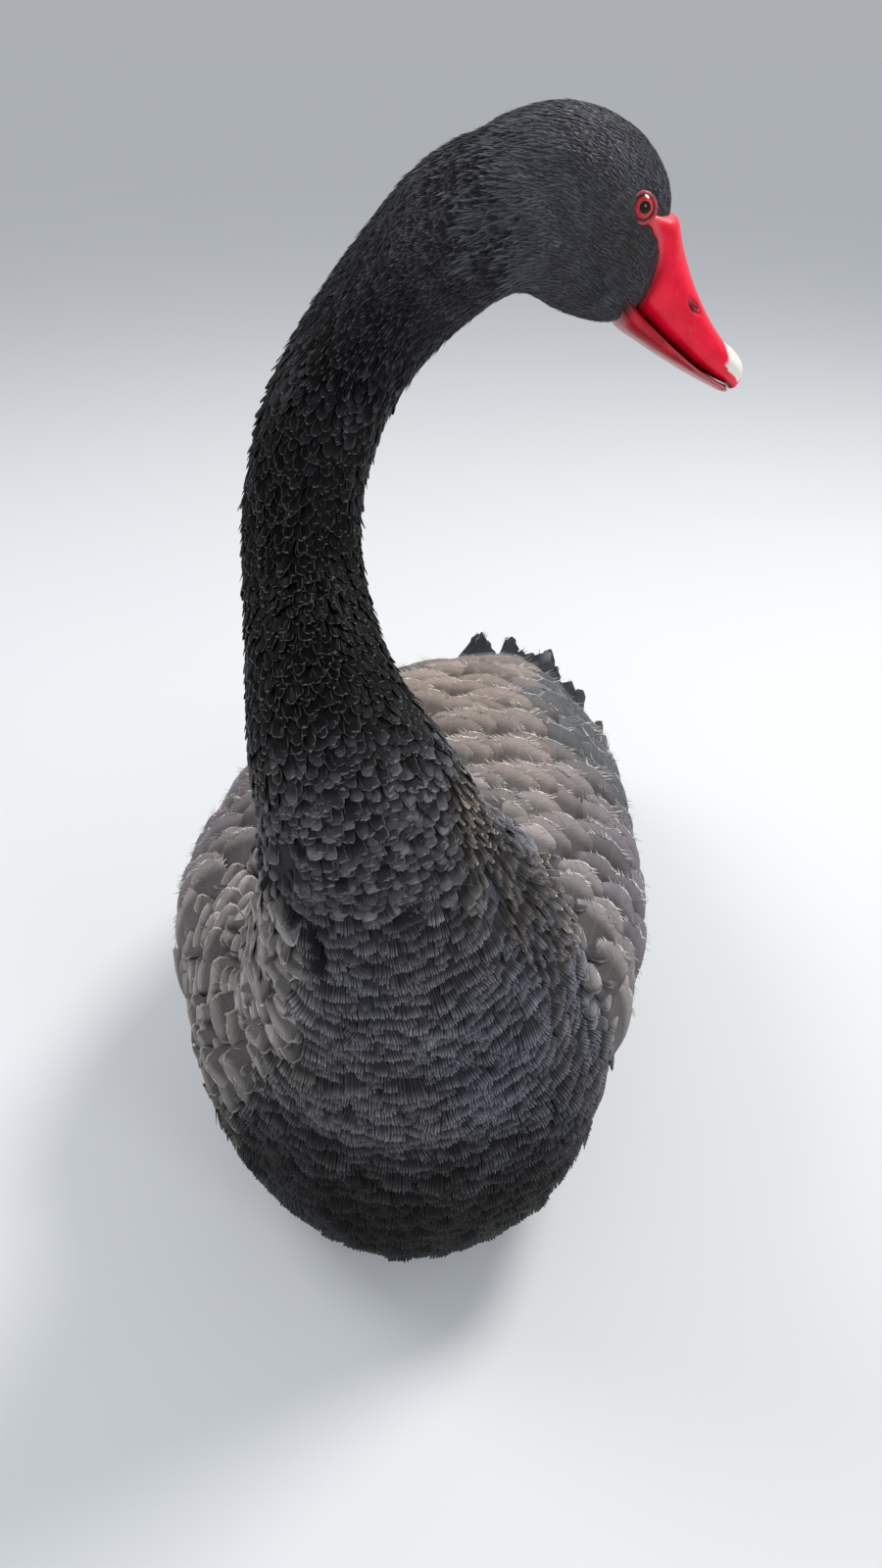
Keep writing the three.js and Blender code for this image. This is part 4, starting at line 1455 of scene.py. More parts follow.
@dataclass
class Coat:
    """Small feathers over head, neck, breast, belly, flanks and back."""

    skin: bpy.types.Object
    candidates: int = 420000
    batch: int = 60000
    # Length along the spine, then feather length, half width, spacing and lift at the tip
    sizes: Rows = (
        (0.030, 4.2, 0.60, 0.92, 0.32),
        (0.090, 5.2, 0.72, 1.00, 0.45),
        (0.120, 6.4, 1.05, 1.35, 0.70),
        (0.160, 8.5, 1.60, 1.90, 1.00),
        (0.220, 10.0, 2.10, 2.25, 1.25),
        (0.330, 11.0, 2.35, 2.35, 1.40),
        (0.400, 12.5, 3.20, 3.00, 1.50),
        (0.420, 13.0, 3.50, 3.00, 1.60),
        (0.440, 14.0, 4.20, 3.50, 1.90),
        (0.470, 14.5, 5.40, 4.20, 2.50),
        (0.560, 15.0, 5.80, 4.50, 2.70),
        (1.100, 22.0, 8.00, 7.00, 3.00),
    )
    front_flank: tuple[float, ...] = (28.0, 11.5, 10.4, 1.5)
    rear_flank: tuple[float, ...] = (32.0, 13.0, 12.0, 2.8)
    border_size: tuple[float, ...] = (1.15, 0.42, 1.0, 1.9)
    crease_size: tuple[float, ...] = (1.35, 0.7, 1.0, 2.2)
    row_gap: float = 6.4 * MM
    under_wing: float = 40 * MM
    surface: SkinSurface = field(init=False)
    rng: np.random.Generator = field(init=False)

    def __post_init__(self) -> None:
        """Read the skin and seed the draws."""
        self.surface = SkinSurface(self.skin)
        self.rng = np.random.default_rng(SEED)

    def lay(self) -> Lay:
        """Choose where the feathers grow.

        Returns:
            The feathers' roots, lie, sizes and tints.
        """
        points = self.surface.scatter(self.rng, self.candidates)
        starts = range(0, len(points), self.batch)
        parts = [SPINE.follow(points[start : start + self.batch]) for start in starts]
        lie, length, angle = (np.concatenate(values) for values in zip(*parts))
        behind = rising(points[:, 1], -0.17, 0.06)
        side = TINTS.flanks(points)
        flank = np.maximum(side, behind * (length > 0.5))
        wide = mix(np.array(self.front_flank), np.array(self.rear_flank), behind[:, None]) * MM
        sizes = mix(Curve(self.sizes)(length) * MM, wide, flank[:, None])
        lie = self.swept(points, lie, side)
        # The finest need many candidates, and the widest only a few
        keep = self.rng.random(len(points)) < np.clip((3.2 * MM / sizes[:, 2]) ** 2, 0.05, 1)
        keep |= (flank < 0.5) & (length > 0.4)
        keep &= self.in_rows(points, length, flank) & ~WING.covers(points, self.under_wing)
        keep &= ~self.bare(HEAD.local(points))
        lay = Lay(points, lie, length, angle, sizes, np.zeros((len(points), 4))).part(keep)
        # On the flanks the feathers stand closer along their lie than across it
        close = mirrored((0.35, 0.65, -0.65), lay.roots)
        close *= (TINTS.flanks(lay.roots) > 0.5)[:, None]
        spread = lay.roots + close * (lay.roots * close).sum(1, keepdims=True)
        lay = lay.part(thinned(spread, lay.sizes[:, 2], self.rng))
        self.tone(lay)
        return lay

    @staticmethod
    def swept(points: Array, lie: Array, side: Array) -> Array:
        """Turn the flank's feathers outwards and back from the breast.

        Args:
            points: Where the feathers grow.
            lie: Their directions along the spine.
            side: How far each lies on the flanks.

        Returns:
            Their directions.
        """
        lie = unit(lie + side[:, None] * mirrored((0.45, 0.3, 0.0), points))
        crease = TINTS.crease(points)
        lie[crease] = unit(lie[crease] + np.array([-0.4, 0.1, 0.0]))
        return lie

    def tone(self, lay: Lay) -> None:
        """Set the tints of the feathers, and their sizes along the two borders.

        Args:
            lay: The feathers, which are changed in place.
        """
        lay.tint = TINTS.at(lay.roots, lay.length)
        border = TINTS.border(lay.roots)
        lay.sizes[border] *= np.array(self.border_size)
        share = self.rng.random((border.sum(), 1)) ** 0.7
        lay.tint[border, :3] = mix(lay.tint[border, :3], np.array(TINTS.brown), share)
        lay.tint[border, 3] = 1.0
        crease = TINTS.crease(lay.roots)
        lay.sizes[crease] *= np.array(self.crease_size)
        lay.tint[crease, :3] = np.array(TINTS.neck)
        # Feathers of the neck differ most from each other
        neck = rising(lay.length, 0.16, 0.05) * falling(lay.length, 0.46, 0.04)
        vary = self.rng.lognormal(0.0, 1.0, len(lay.roots)) ** mix(0.16, 0.50, neck)
        lay.tint[:, :3] *= np.clip(vary, 0.5, 2.8)[:, None]

    def in_rows(self, points: Array, length: Array, flank: Array) -> Array:
        """Find the points in the wavy rows that the breast's feathers grow in.

        Args:
            points: Points on the skin.
            length: Their length along the spine.
            flank: How far they lie on the flanks, where there are no rows.

        Returns:
            True for each point in a row, or where there are no rows.
        """
        # Down the neck the rows go by the spine, and on the breast by the height
        along = mix(length, 0.80 - points[:, 2], rising(length, 0.50, 0.05))
        phase = along / self.row_gap + 0.5 * ROW_WANDER(points)
        return (np.abs(phase - np.round(phase)) < 0.18) | (length < 0.425) | (flank > 0.5)

    @staticmethod
    def bare(local: Array) -> Array:
        """Find points of the head that carry no feathers: under the bill and round the eyes.

        Args:
            local: Points in the head's frame.

        Returns:
            True for each bare point.
        """
        f, side, u = local[:, 0], np.abs(local[:, 1]), local[:, 2]
        eye = np.hypot(f - EYES.f, u - EYES.u) < EYES.ring
        eye &= side > 10 * MM
        covered = np.zeros(len(f), bool)
        for rows in (UPPER_BILL, LOWER_BILL):
            top, bottom, half = Curve(rows)(f).T
            tall = np.maximum(top - bottom, MM) / 2
            within = (side / half) ** 2 + ((u - (top + bottom) / 2) / tall) ** 2 < 1.0
            covered |= within & (f > rows[0][0]) & (f < rows[-1][0])
        return eye | covered

    def planted(self, lay: Lay, turn: float, swirl: float, pattern: Waves) -> tuple[Array, ...]:
        """Bring feathers to the skin, each with a size and a turn of its own.

        Args:
            lay: Where they grow.
            turn: How far single feathers turn off the lie.
            swirl: How far whole stretches do.
            pattern: The pattern of those stretches.

        Returns:
            Sizes, roots on the skin, its normals there and directions along it.
        """
        count = len(lay.roots)
        size = lay.sizes * varied(self.rng, 0.12, 0.65, 1.4, (count, 1))
        place, normal = self.surface.nearest(lay.roots)
        way = laid(lay.lie, normal)
        sway = self.rng.normal(0.0, turn, count) + swirl * pattern(lay.roots)
        return size, place, normal, unit(way + np.cross(way, normal) * sway[:, None])

    def walked(self, place: Array, way: Array, step: Array) -> tuple[Array, Array, Array]:
        """Walk along the skin.

        Args:
            place: Where each walk starts.
            way: Its direction.
            step: Its length.

        Returns:
            Places on the skin, its normals there and the directions laid on it.
        """
        place, normal = self.surface.nearest(place + way * step[:, None])
        return place, normal, laid(way, normal)

    def vanes(self, lay: Lay, shape: VaneShape, buffer: FaceBuffer) -> None:
        """Add feathers with whole vanes that follow the skin.

        Args:
            lay: Where they grow.
            shape: Their form.
            buffer: What they are added to.
        """
        count, rng = len(lay.roots), self.rng
        shares = np.array([row[0] for row in shape.rows] + [1.0])
        widths = [row[1] for row in shape.rows] + [0.0]
        size, place, normal, way = self.planted(lay, 0.13, 0.24, VANE_SWIRL)
        rise = size[:, 3] * np.clip(rng.lognormal(0.0, 0.32, count), 0.5, 2.4)
        lean = rng.normal(0.0, 0.13, count)
        offset = rng.uniform(0, 500, (count, 2))
        columns = np.linspace(-1, 1, shape.columns)
        points, vane, barb = [], [], []
        for i, share in enumerate(shares):
            if i:
                step = (share - shares[i - 1]) * size[:, 0]
                place, normal, way = self.walked(place, way, step)
            lift = rise * (share**shape.curve * (1 + shape.sink) - shape.sink)
            centre = place + normal * lift[:, None]
            over = np.cross(way, normal)
            half = size[:, 1] * widths[i]
            # The tip is a single point
            for column in columns if widths[i] else (0.0,):
                uneven = rng.normal(0.0, shape.ragged, count) * size[:, 0] * (share > 0.6)
                height = shape.arch * half * (1 - column**2) + lean * half * column
                spot = centre + over * (half * column)[:, None] + normal * height[:, None]
                points.append(spot + way * uneven[:, None])
                vane.append((column / 2 + 0.5, share))
                far = (size[:, 0] * share - 0.7 * half * abs(column)) / MM
                barb.append(np.stack([far, half * column / MM], axis=1) + offset)
        stacked = np.stack(points, axis=1)
        stacked[..., 2] = np.maximum(stacked[..., 2], FLOOR_GAP)
        faces = ribbon_faces(len(shape.rows), shape.columns)
        shaped, barbs = np.array(vane), np.stack(barb, axis=1)
        buffer.add(stacked, shaped, barbs, lay.tint[:, None], lay.patches(), faces)

    def tufts(self, lay: Lay, shape: TuftShape, buffer: FaceBuffer) -> None:
        """Add feathers whose barbs follow the skin.

        Args:
            lay: Where they grow.
            shape: Their form.
            buffer: What they are added to.
        """
        count, barbs, rng = len(lay.roots), shape.barbs, self.rng
        size, place, normal, way = self.planted(lay, 0.12, 0.20, TUFT_SWIRL)
        shares = (0.0, shape.reach, 1.0)
        spine, ups, overs = [place], [normal], [np.cross(way, normal)]
        for before, share in zip(shares, shares[1:]):
            place, normal, way = self.walked(place, way, (share - before) * size[:, 0])
            spine.append(place)
            ups.append(normal)
            overs.append(np.cross(way, normal))
        # Each barb's root, taper and tip, all as (feathers, barbs, 3)
        spots = np.linspace(-1, 1, barbs) + rng.normal(0, 0.25 / barbs, (count, barbs))
        ends = 1 - shape.rounding * spots**2 - shape.ragged * rng.random((count, barbs))
        rise = size[:, 3] * np.clip(rng.lognormal(0.0, 0.30, count), 0.5, 2.2)
        lean = rng.normal(0.0, 0.09, count)
        fluff = rng.normal(0.0, 0.06, (count, barbs)) * size[:, 3:4]
        stops = (np.zeros_like(ends), np.full_like(ends, shape.reach), ends)
        centres, uppers, sides = [], [], []
        for share, spread, low, high in zip(stops, shape.spread, (0, 1, 1), (0, 1, 2)):
            part = np.clip((share - shape.reach) / (1 - shape.reach), 0, 1)[..., None]
            middle = mix(spine[low][:, None], spine[high][:, None], part)
            up = unit(mix(ups[low][:, None], ups[high][:, None], part))
            over = unit(mix(overs[low][:, None], overs[high][:, None], part))
            off = size[:, 1:2] * spread * spots
            height = rise[:, None] * (share**shape.curve * (1 + shape.sink) - shape.sink)
            height = height + shape.arch * size[:, 1:2] * (1 - spots**2) * (share > 0)
            height = height + lean[:, None] * off + fluff * share
            centres.append(middle + over * off[..., None] + up * height[..., None])
            uppers.append(up)
            sides.append(over)
        # Neighbouring barbs overlap a little
        wide = size[:, 1:2] * shape.spread[1] / barbs * 1.12
        points, vane = [], []
        for i, width in enumerate((wide, wide * shape.taper)):
            for column in (-1, 0, 1):
                ridge = 0.28 * width * (1 - abs(column))
                spot = centres[i] + sides[i] * (column * width)[..., None]
                points.append(spot + uppers[i] * ridge[..., None])
                over = 0.5 + 0.5 * spots + 0.4 * column / barbs
                vane.append(np.stack([over, np.full_like(spots, shares[i])], axis=-1))
        points.append(centres[2])
        vane.append(np.stack([0.5 + 0.5 * spots, np.ones_like(spots)], axis=-1))
        total, each = count * barbs, len(points)
        stacked = np.stack(points, axis=2).reshape(total, each, 3)
        stacked[..., 2] = np.maximum(stacked[..., 2], FLOOR_GAP)
        shaped = np.stack(vane, axis=2).reshape(total, each, 2)
        lengths = np.repeat(size[:, 0], barbs)[:, None] / MM
        halves = np.repeat(size[:, 1], barbs)[:, None] / MM
        barb = np.stack([halves * shaped[..., 0] * 4, lengths * shaped[..., 1]], axis=-1)
        barb = barb + np.repeat(rng.uniform(0, 500, (count, 2)), barbs, axis=0)[:, None]
        tint = np.repeat(lay.tint, barbs, axis=0)
        tint[:, :3] *= varied(rng, 0.16, 0.55, 1.6, (total, 1))
        bake = np.repeat(lay.patches(), barbs, axis=0)
        buffer.add(stacked, shaped, barb, tint[:, None], bake, ribbon_faces(2, 3))

    def build(self) -> list[bpy.types.Object]:
        """Build the small feathers.

        Returns:
            The pieces, one for each stretch of the bird.
        """
        lay = self.lay()
        place = lay.roots
        blur = 0.008 * ZONE_WANDER(place) + self.rng.normal(0, 0.009, len(place))
        length = lay.length + blur * (lay.length > 0.10)
        body = (TINTS.flanks(place) > 0.4) | ((length > 0.465) & (place[:, 1] > -0.16))
        pieces = []
        for name, start, end, shape, finish, slot in ZONES:
            chosen = (length >= start) & (length < end) & (~body | (end < 0.22))
            pieces.append(self.grown(name, lay.part(chosen), shape, finish))
        pieces.append(self.grown("body_coat", lay.part(body), BROAD, FLANK))
        return pieces

    def grown(self, name: str, lay: Lay, shape: TuftShape | VaneShape, finish: Finish) -> bpy.types.Object:
        """Grow the feathers of one stretch.

        Args:
            name: The piece's name.
            lay: Where the feathers grow.
            shape: Their form.
            finish: Their finish.

        Returns:
            The piece.
        """
        buffer = FaceBuffer()
        grow = self.tufts if isinstance(shape, TuftShape) else self.vanes
        grow(lay, shape, buffer)
        piece = buffer.build(name, finish.material())
        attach(piece, "root")
        return piece


@dataclass(frozen=True)
class EyePlan:
    """Where the eyes sit in the head's frame."""

    f: float = -16 * MM
    side: float = 15.3 * MM
    u: float = 13.8 * MM
    radius: float = 6.0 * MM
    ring: float = 5.5 * MM


EYES = EyePlan()
# Distance along the bill, top, bottom and half width
UPPER_BILL = scaled((
    (-13, 17.5, 8, 18.4),
    (-5, 21.5, 6, 17.2),
    (1, 24.5, 3, 15.8),
    (5, 22.5, -1.5, 15.0),
    (8, 20.7, -7.5, 14.6),
    (10, 19.3, -10.6, 14.2),
    (18, 14.4, -11.3, 12.6),
    (28, 9.5, -11.8, 11.4),
    (39, 5.4, -12, 10.9),
    (48, 3.2, -11.6, 10.6),
    (56, 2.2, -10, 9.4),
    (62, 0.8, -8.6, 6.8),
    (65.5, -2.2, -8.6, 3.6),
))
LOWER_BILL = scaled((
    (1, -9.0, -16.5, 13.0),
    (10, -10.9, -19.3, 13),
    (22, -11.9, -18.4, 11.6),
    (34, -12.3, -16.9, 10.6),
    (46, -12.1, -15, 9.4),
    (56, -10.4, -13.2, 7.4),
    (62, -9, -12, 4.6),
))


@dataclass(frozen=True)
class Slab:
    """The form that a batch of large feathers shares.

    Attributes:
        outline: Shares along, each with the half width there.
        columns: How many points there are across.
        climb: The share by which the feather has risen.
        late: How late it rises.
        base: Height of its root over the body.
        notch: How ragged its edges are, as a share of the half width.
        fringe: How many barbs its fringe has, or 0.
        fringe_length: Their mean length.
        thick: Its thickness at the shaft.
    """

    outline: Rows
    columns: int = 7
    climb: float = 1.0
    late: float = 1.0
    base: float = -2.4 * MM
    notch: float = 0.0
    fringe: int = 22
    fringe_length: float = 3.5 * MM
    thick: float = 0.5 * MM


@dataclass
class Vanes:
    """Large feathers laid along the body as thin slabs, each with a fringe of barbs."""

    side: Side
    rng: np.random.Generator
    buffer: FaceBuffer = field(default_factory=FaceBuffer)
    # The angle round the body that no feather crosses
    midline: float = 91.0

    def degrees_per_metre(self, y: Array, angle: Array) -> Array:
        """Return how many degrees round the body a metre takes at each place."""
        gap = BODY.surface(y, angle + 0.5) - BODY.surface(y, angle - 0.5)
        return 1.0 / np.maximum(np.linalg.norm(gap, axis=-1), 1e-6)

    def add(
        self,
        form: Slab,
        y: Array | float,
        angle: Array,
        tip_angle: Array,
        length: Array | float,
        half: Array | float,
        rise: Array | float,
        tilt: Array | float,
        tint: Array,
        curl: Array | float = 0.0,
    ) -> None:
        """Add feathers that are rooted on the body and run back along it.

        Args:
            form: The form that they share.
            y: Roots along the body.
            angle: Roots round the body in degrees.
            tip_angle: Angles at the tips.
            length: Lengths.
            half: Half widths.
            rise: How far the tips stand off the body.
            tilt: How far each edge lifts over the lower neighbour.
            tint: Colours and fringes, as (feathers, 4), or one for all.
            curl: How far the ends turn up.
        """
        count = len(angle)
        measures = (y, length, half, rise, tilt, curl)
        y, length, half, rise, tilt, curl = (np.broadcast_to(m, (count,)) for m in measures)
        tint = np.broadcast_to(tint, (count, 4))
        shares, widths = (np.array(column, float) for column in zip(*form.outline))
        across = np.linspace(-1, 1, form.columns)
        place = y[:, None] + length[:, None] * shares
        middle = mix(angle[:, None], tip_angle[:, None], shares)
        spread = half[:, None] * widths * self.degrees_per_metre(place, middle)
        ragged = 1 + form.notch * self.rng.uniform(-1, 0.4, (count, len(shares), form.columns))
        ragged[:, shares < 0.3] = 1.0
        turned = np.minimum(middle[..., None] - across * spread[..., None] * ragged, self.midline)
        lean = np.minimum(shares * 3, 1) * widths
        height = rise[:, None] * np.minimum(shares / form.climb, 1) ** form.late
        height = height + curl[:, None] * shares**3 + form.base
        lift = height[..., None] + tilt[:, None, None] * across * lean[:, None]
        arch = 0.06 * half[:, None, None] * (1 - across**2) * np.minimum(widths, 1)[:, None]
        lift = lift + arch
        # The tip is rounded: the outer columns stop short of the middle ones
        short = 0.30 * half[:, None, None] * (across**2) * (shares**3 * widths)[:, None]
        along = place[..., None] - short
        if self.side is Side.RIGHT:
            top = BODY.point(along, 180 - turned, lift)
        else:
            top = BODY.point(along, turned, lift)[:, :, ::-1]
            across = -across
        normal = unit(np.cross(np.gradient(top, axis=2), np.gradient(top, axis=1)))
        bottom = top - normal * (form.thick * (1 - 0.7 * np.abs(across)))[:, None]
        points = np.concatenate([top.reshape(count, -1, 3), bottom.reshape(count, -1, 3)], axis=1)
        points[..., 2] = np.maximum(points[..., 2], FLOOR_GAP)
        grid_across, grid_along = np.meshgrid(across / 2 + 0.5, shares)
        flat = np.stack([grid_across.ravel(), grid_along.ravel()], axis=1)
        vane = np.concatenate([flat, flat])
        offset = self.rng.uniform(0, 500, (count, 1, 2))
        wide = half[:, None] * (vane[..., 0] - 0.5) * 2 / MM
        far = length[:, None] * vane[..., 1] / MM
        barb = np.stack([far - 0.7 * np.abs(wide), wide], axis=-1) + offset
        bake = np.stack([(angle + 30) / 260, (y + 0.3) / 0.7], axis=1)
        if self.side is Side.RIGHT:
            bake[:, 0] = 1 - bake[:, 0]
        faces = slab_faces(len(shares), form.columns)
        self.buffer.add(points, vane, barb, tint[:, None], bake, faces)
        if form.fringe:
            self.fringe(form, top, normal, tint, bake, offset)

    def fringe(
        self, form: Slab, top: Array, normal: Array, tint: Array, bake: Array, offset: Array
    ) -> None:
        """Add short barbs along the outer edge of each feather.

        Args:
            form: The form that the feathers share.
            top: Their top points, as (feathers, rows, columns, 3).
            normal: Normals there.
            tint: Colours and fringes of the feathers.
            bake: Places on the unwrap.
            offset: Offset of each feather's barb pattern.
        """
        count, rows, columns = top.shape[:3]
        barbs, total = form.fringe, count * form.fringe
        shares = [row[0] for row in form.outline]
        first = int(np.searchsorted(shares, 0.70))
        left = [(row, 0) for row in range(first, rows)]
        tip = [(rows - 1, i) for i in range(1, columns - 1)]
        right = [(row, columns - 1) for row in range(rows - 1, first - 1, -1)]
        edge = left + tip + right
        rim = np.stack([top[:, r, c] for r, c in edge], axis=1)
        up = np.stack([normal[:, r, c] for r, c in edge], axis=1)
        inner = np.stack([top[:, max(r - 2, 0), columns // 2] for r, _ in edge], axis=1)
        # Draw the barbs' places evenly along the edge
        last = len(edge) - 1
        steps = np.linalg.norm(np.diff(rim, axis=1), axis=2)
        walked = np.concatenate([np.zeros((count, 1)), np.cumsum(steps, axis=1)], axis=1)
        wanted = np.sort(self.rng.random((count, barbs)), axis=1) * walked[:, -1:]
        at = np.stack([np.interp(w, d, np.arange(last + 1)) for w, d in zip(wanted, walked)])
        low = np.minimum(at.astype(int), last - 1)
        part = (at - low)[..., None]
        pick = np.arange(count)[:, None]
        root, lifted, heart = (mix(a[pick, low], a[pick, low + 1], part) for a in (rim, up, inner))
        lifted = unit(lifted)
        out = unit(root - heart)
        reach = form.fringe_length * self.rng.uniform(0.45, 1.25, (count, barbs, 1))
        sway = self.rng.normal(0, 0.16, (count, barbs, 1))
        side = unit(np.cross(out, lifted))
        # Each barb is a sliver from just inside the edge to its own end
        start = root - out * 2.2 * MM + lifted * 0.15 * MM
        end = root + (0.62 * out + side * sway + 0.75 * lifted) * reach
        half = 0.46 * MM
        ring = [start - side * half, start + lifted * 0.22 * MM, start + side * half]
        points = np.stack([*ring, end], axis=2).reshape(total, 4, 3)
        points[..., 2] = np.maximum(points[..., 2], FLOOR_GAP)
        vane = np.array([[0.3, 0.982], [0.32, 0.988], [0.34, 0.982], [0.32, 1.0]])
        barb = np.array([[0.0, 0.0], [0.3, 0.2], [0.6, 0.0], [0.3, 3.0]])
        barb = barb + np.repeat(offset, barbs, axis=0)
        tints = np.repeat(tint, barbs, axis=0)[:, None]
        tints[..., 3] = np.minimum(1.0, tints[..., 3] * 1.6)
        self.buffer.add(points, vane, barb, tints, np.repeat(bake, barbs, axis=0), ribbon_faces(1, 3))


COVERT_OUTLINE = (
    (0.0, 0.45), (0.25, 0.8), (0.5, 0.97), (0.74, 1.0),
    (0.88, 0.93), (0.96, 0.72), (0.99, 0.45), (1.0, 0.22),
)
FLIGHT_OUTLINE = (
    (0.0, 0.45), (0.2, 0.85), (0.4, 1.0), (0.6, 0.95),
    (0.76, 0.84), (0.89, 0.6), (0.97, 0.32), (1.0, 0.1),
)
PLUME_OUTLINE = (
    (0.0, 0.45), (0.3, 0.8), (0.5, 1.0), (0.64, 0.98), (0.74, 0.9),
    (0.82, 0.78), (0.90, 0.55), (0.96, 0.28), (1.0, 0.06),
)
TERTIAL = Slab(COVERT_OUTLINE, columns=9, notch=0.08, fringe=26, fringe_length=3.0 * MM)
PLUME = Slab(PLUME_OUTLINE, notch=0.45, fringe=24, fringe_length=4.5 * MM)
PRIMARY = Slab(FLIGHT_OUTLINE, climb=0.3, notch=0.04, fringe=0)
TAIL_FEATHER = Slab(
    FLIGHT_OUTLINE, climb=0.4, base=-5 * MM, notch=0.08, fringe=14, fringe_length=2.5 * MM
)
TAIL_COVERT = Slab(COVERT_OUTLINE, base=-4.5 * MM, notch=0.05, fringe=16, fringe_length=2.5 * MM)

SOFT_VANE = FeatherFinish(
    "covert_feathers", (0.82, 0.75, 0.68), fringe_from=0.966, side_from=0.985,
    barb_contrast=0.6, shaft=0.03, roughness=0.6, fray=0.12, inner=0.30, inner_from=0.62,
)
GLOSSY_VANE = FeatherFinish(
    "tertial_feathers", (0.05, 0.05, 0.052), barb_contrast=0.4, shaft=0.15,
    roughness=0.38, specular=0.4,
)
WHITE_VANE = FeatherFinish("primary_feathers", (0.22, 0.20, 0.19), barb_contrast=0.15, shaft=0.4)
TAIL_VANE = FeatherFinish("tail_feathers", (0.045, 0.042, 0.042), barb_contrast=0.4, specular=0.4)

# Side, root, angles of root and tip, length and curl of each tuft of plumes, in mm and degrees
PLUMES = (
    (Side.RIGHT, 206, 74, 72, 84, 25),
    (Side.LEFT, 214, 88, 90, 82, 22),
    (Side.LEFT, 202, 70, 68, 88, 13),
    (Side.LEFT, 188, 58, 54, 88, 24),
    (Side.LEFT, 160, 50, 44, 88, 18),
    (Side.LEFT, 128, 42, 35, 84, 19),
    (Side.LEFT, 88, 24, 15, 82, 13),
)


@dataclass
class FoldedWing:
    """A folded wing: tiers of coverts and scapulars, ragged tertials and white primaries."""

    side: Side
    tiers: int = 13
    front_count: float = 8.4
    rear_count: float = 5.4
    low_last: float = 62 * MM
    high_last: float = 150 * MM
    growth: float = 1.12

    def tint(self, rng: np.random.Generator, q: float, up: Array) -> Array:
        """Find the tints of one tier.

        Args:
            rng: The seeded source of draws.
            q: The tier's share of the way back.
            up: The feathers' shares of the height.

        Returns:
            Colours and fringes.
        """
        count = len(up)
        taupe = np.clip(up * 1.5 - 0.42, 0, 1)[:, None]
        colour = mix(np.array(TINTS.mauve), np.array(TINTS.taupe), taupe)
        colour = mix(colour, np.array(TINTS.flank), falling(q, 0.18, 0.18))
        low = falling(up, 0.82, 0.18) * rising(q, 0.45, 0.14)
        rear = rising(q, 0.86, 0.14) * 0.30
        dark = np.clip(low + rear + rng.normal(0, 0.12, count), 0, 1)[:, None]
        colour = mix(colour, np.array(TINTS.slate), dark)
        colour = colour * varied(rng, 0.14, 0.7, 1.35, (count, 1))
        strength = np.clip(0.95 - 0.45 * dark + rng.normal(0, 0.08, (count, 1)), 0.2, 1)
        return np.concatenate([colour, strength], axis=1)

    def coverts(self, vanes: Vanes) -> None:
        """Add the tiers of coverts and scapulars.

        Args:
            vanes: What they are added to.
        """
        rng = vanes.rng
        for tier in range(self.tiers):
            q = tier / (self.tiers - 1)
            count = int(round(mix(self.front_count, self.rear_count, q)))
            up = (np.arange(count) + 0.5 * (tier % 2)) / (count - 0.5)
            angle = mix(1.0, 85.0, up) + rng.normal(0, 1.6, count)
            front = WING.front_at(up) + 2 * MM
            rear = mix(self.low_last, self.high_last, up)
            form = Slab(
                COVERT_OUTLINE, notch=0.06, late=1.9, base=mix(-4.0 * MM, -2.4 * MM, q),
                fringe=int(mix(30, 46, q)), fringe_length=mix(4.0 * MM, 8.0 * MM, q),
            )
            vanes.add(
                form,
                y=mix(front, rear, q**self.growth) + rng.normal(0, 1.8 * MM, count),
                length=mix(34 * MM, 82 * MM, q) * varied(rng, 0.05, 0.85, 1.15, count),
                half=mix(17.5 * MM, 29.0 * MM, q) * varied(rng, 0.08, 0.8, 1.2, count),
                angle=angle, tip_angle=angle + 2 * q + rng.normal(0, 1.0, count),
                rise=mix(7.5 * MM, 13.0 * MM, q) * rng.uniform(0.8, 1.25, count),
                tilt=mix(1.4 * MM, 2.8 * MM, q) * rng.uniform(0.4, 1.6, count),
                tint=self.tint(rng, q, up),
            )

    def tertials(self, vanes: Vanes) -> None:
        """Add two layers of ragged, curling tertials and secondaries.

        Args:
            vanes: What they are added to.
        """
        rng, count = vanes.rng, 8
        slate, night = np.array([*TINTS.slate, 0.5]), np.array(TINTS.night)
        for layer, (shift, drop) in enumerate(((0.0, 0.0), (9 * MM, 1.6 * MM))):
            down = (np.arange(count) + 0.5 * layer) / (count - 0.5)
            angle = mix(83.0, 5.0, down)
            length = mix(134 * MM, 104 * MM, down) * varied(rng, 0.05, 0.85, 1.12, count)
            tint = np.tile(slate, (count, 1))
            tint[:, :3] = mix(slate[:3] * 1.5, night, 0.5 * rng.random((count, 1)))
            vanes.add(
                TERTIAL,
                y=mix(140 * MM, 96 * MM, down) + shift,
                angle=angle, tip_angle=angle + rng.normal(0, 2.0, count), length=length,
                half=18.5 * MM, rise=9.4 * MM - drop, tilt=2.2 * MM, tint=tint,
                curl=mix(4 * MM, 2 * MM, down) * rng.uniform(0.7, 1.3, count),
            )

    def plumes(self, vanes: Vanes) -> None:
        """Add the black plumes, three to a tuft, whose ragged tips curl up.

        Args:
            vanes: What they are added to.
        """
        rng = vanes.rng
        rows = np.array([row[1:] for row in PLUMES if row[0] is self.side], float)
        root, angle, tip_angle, length, curl = np.repeat(rows, 3, axis=0).T
        count = len(root)
        spread = np.tile([-1.0, 0.0, 1.0], len(rows))
        vanes.add(
            PLUME,
            y=(root + rng.normal(0, 3, count)) * MM,
            angle=angle + 2.0 * spread,
            tip_angle=tip_angle + 3.5 * spread + rng.normal(0, 1.5, count),
            length=length * rng.uniform(0.80, 1.06, count) * MM,
            half=rng.uniform(8.0, 12.5, count) * MM,
            rise=8.5 * MM, tilt=2.4 * MM, tint=np.array([*TINTS.night, 0.3]),
            curl=curl * rng.uniform(0.55, 1.15, count) * MM,
        )

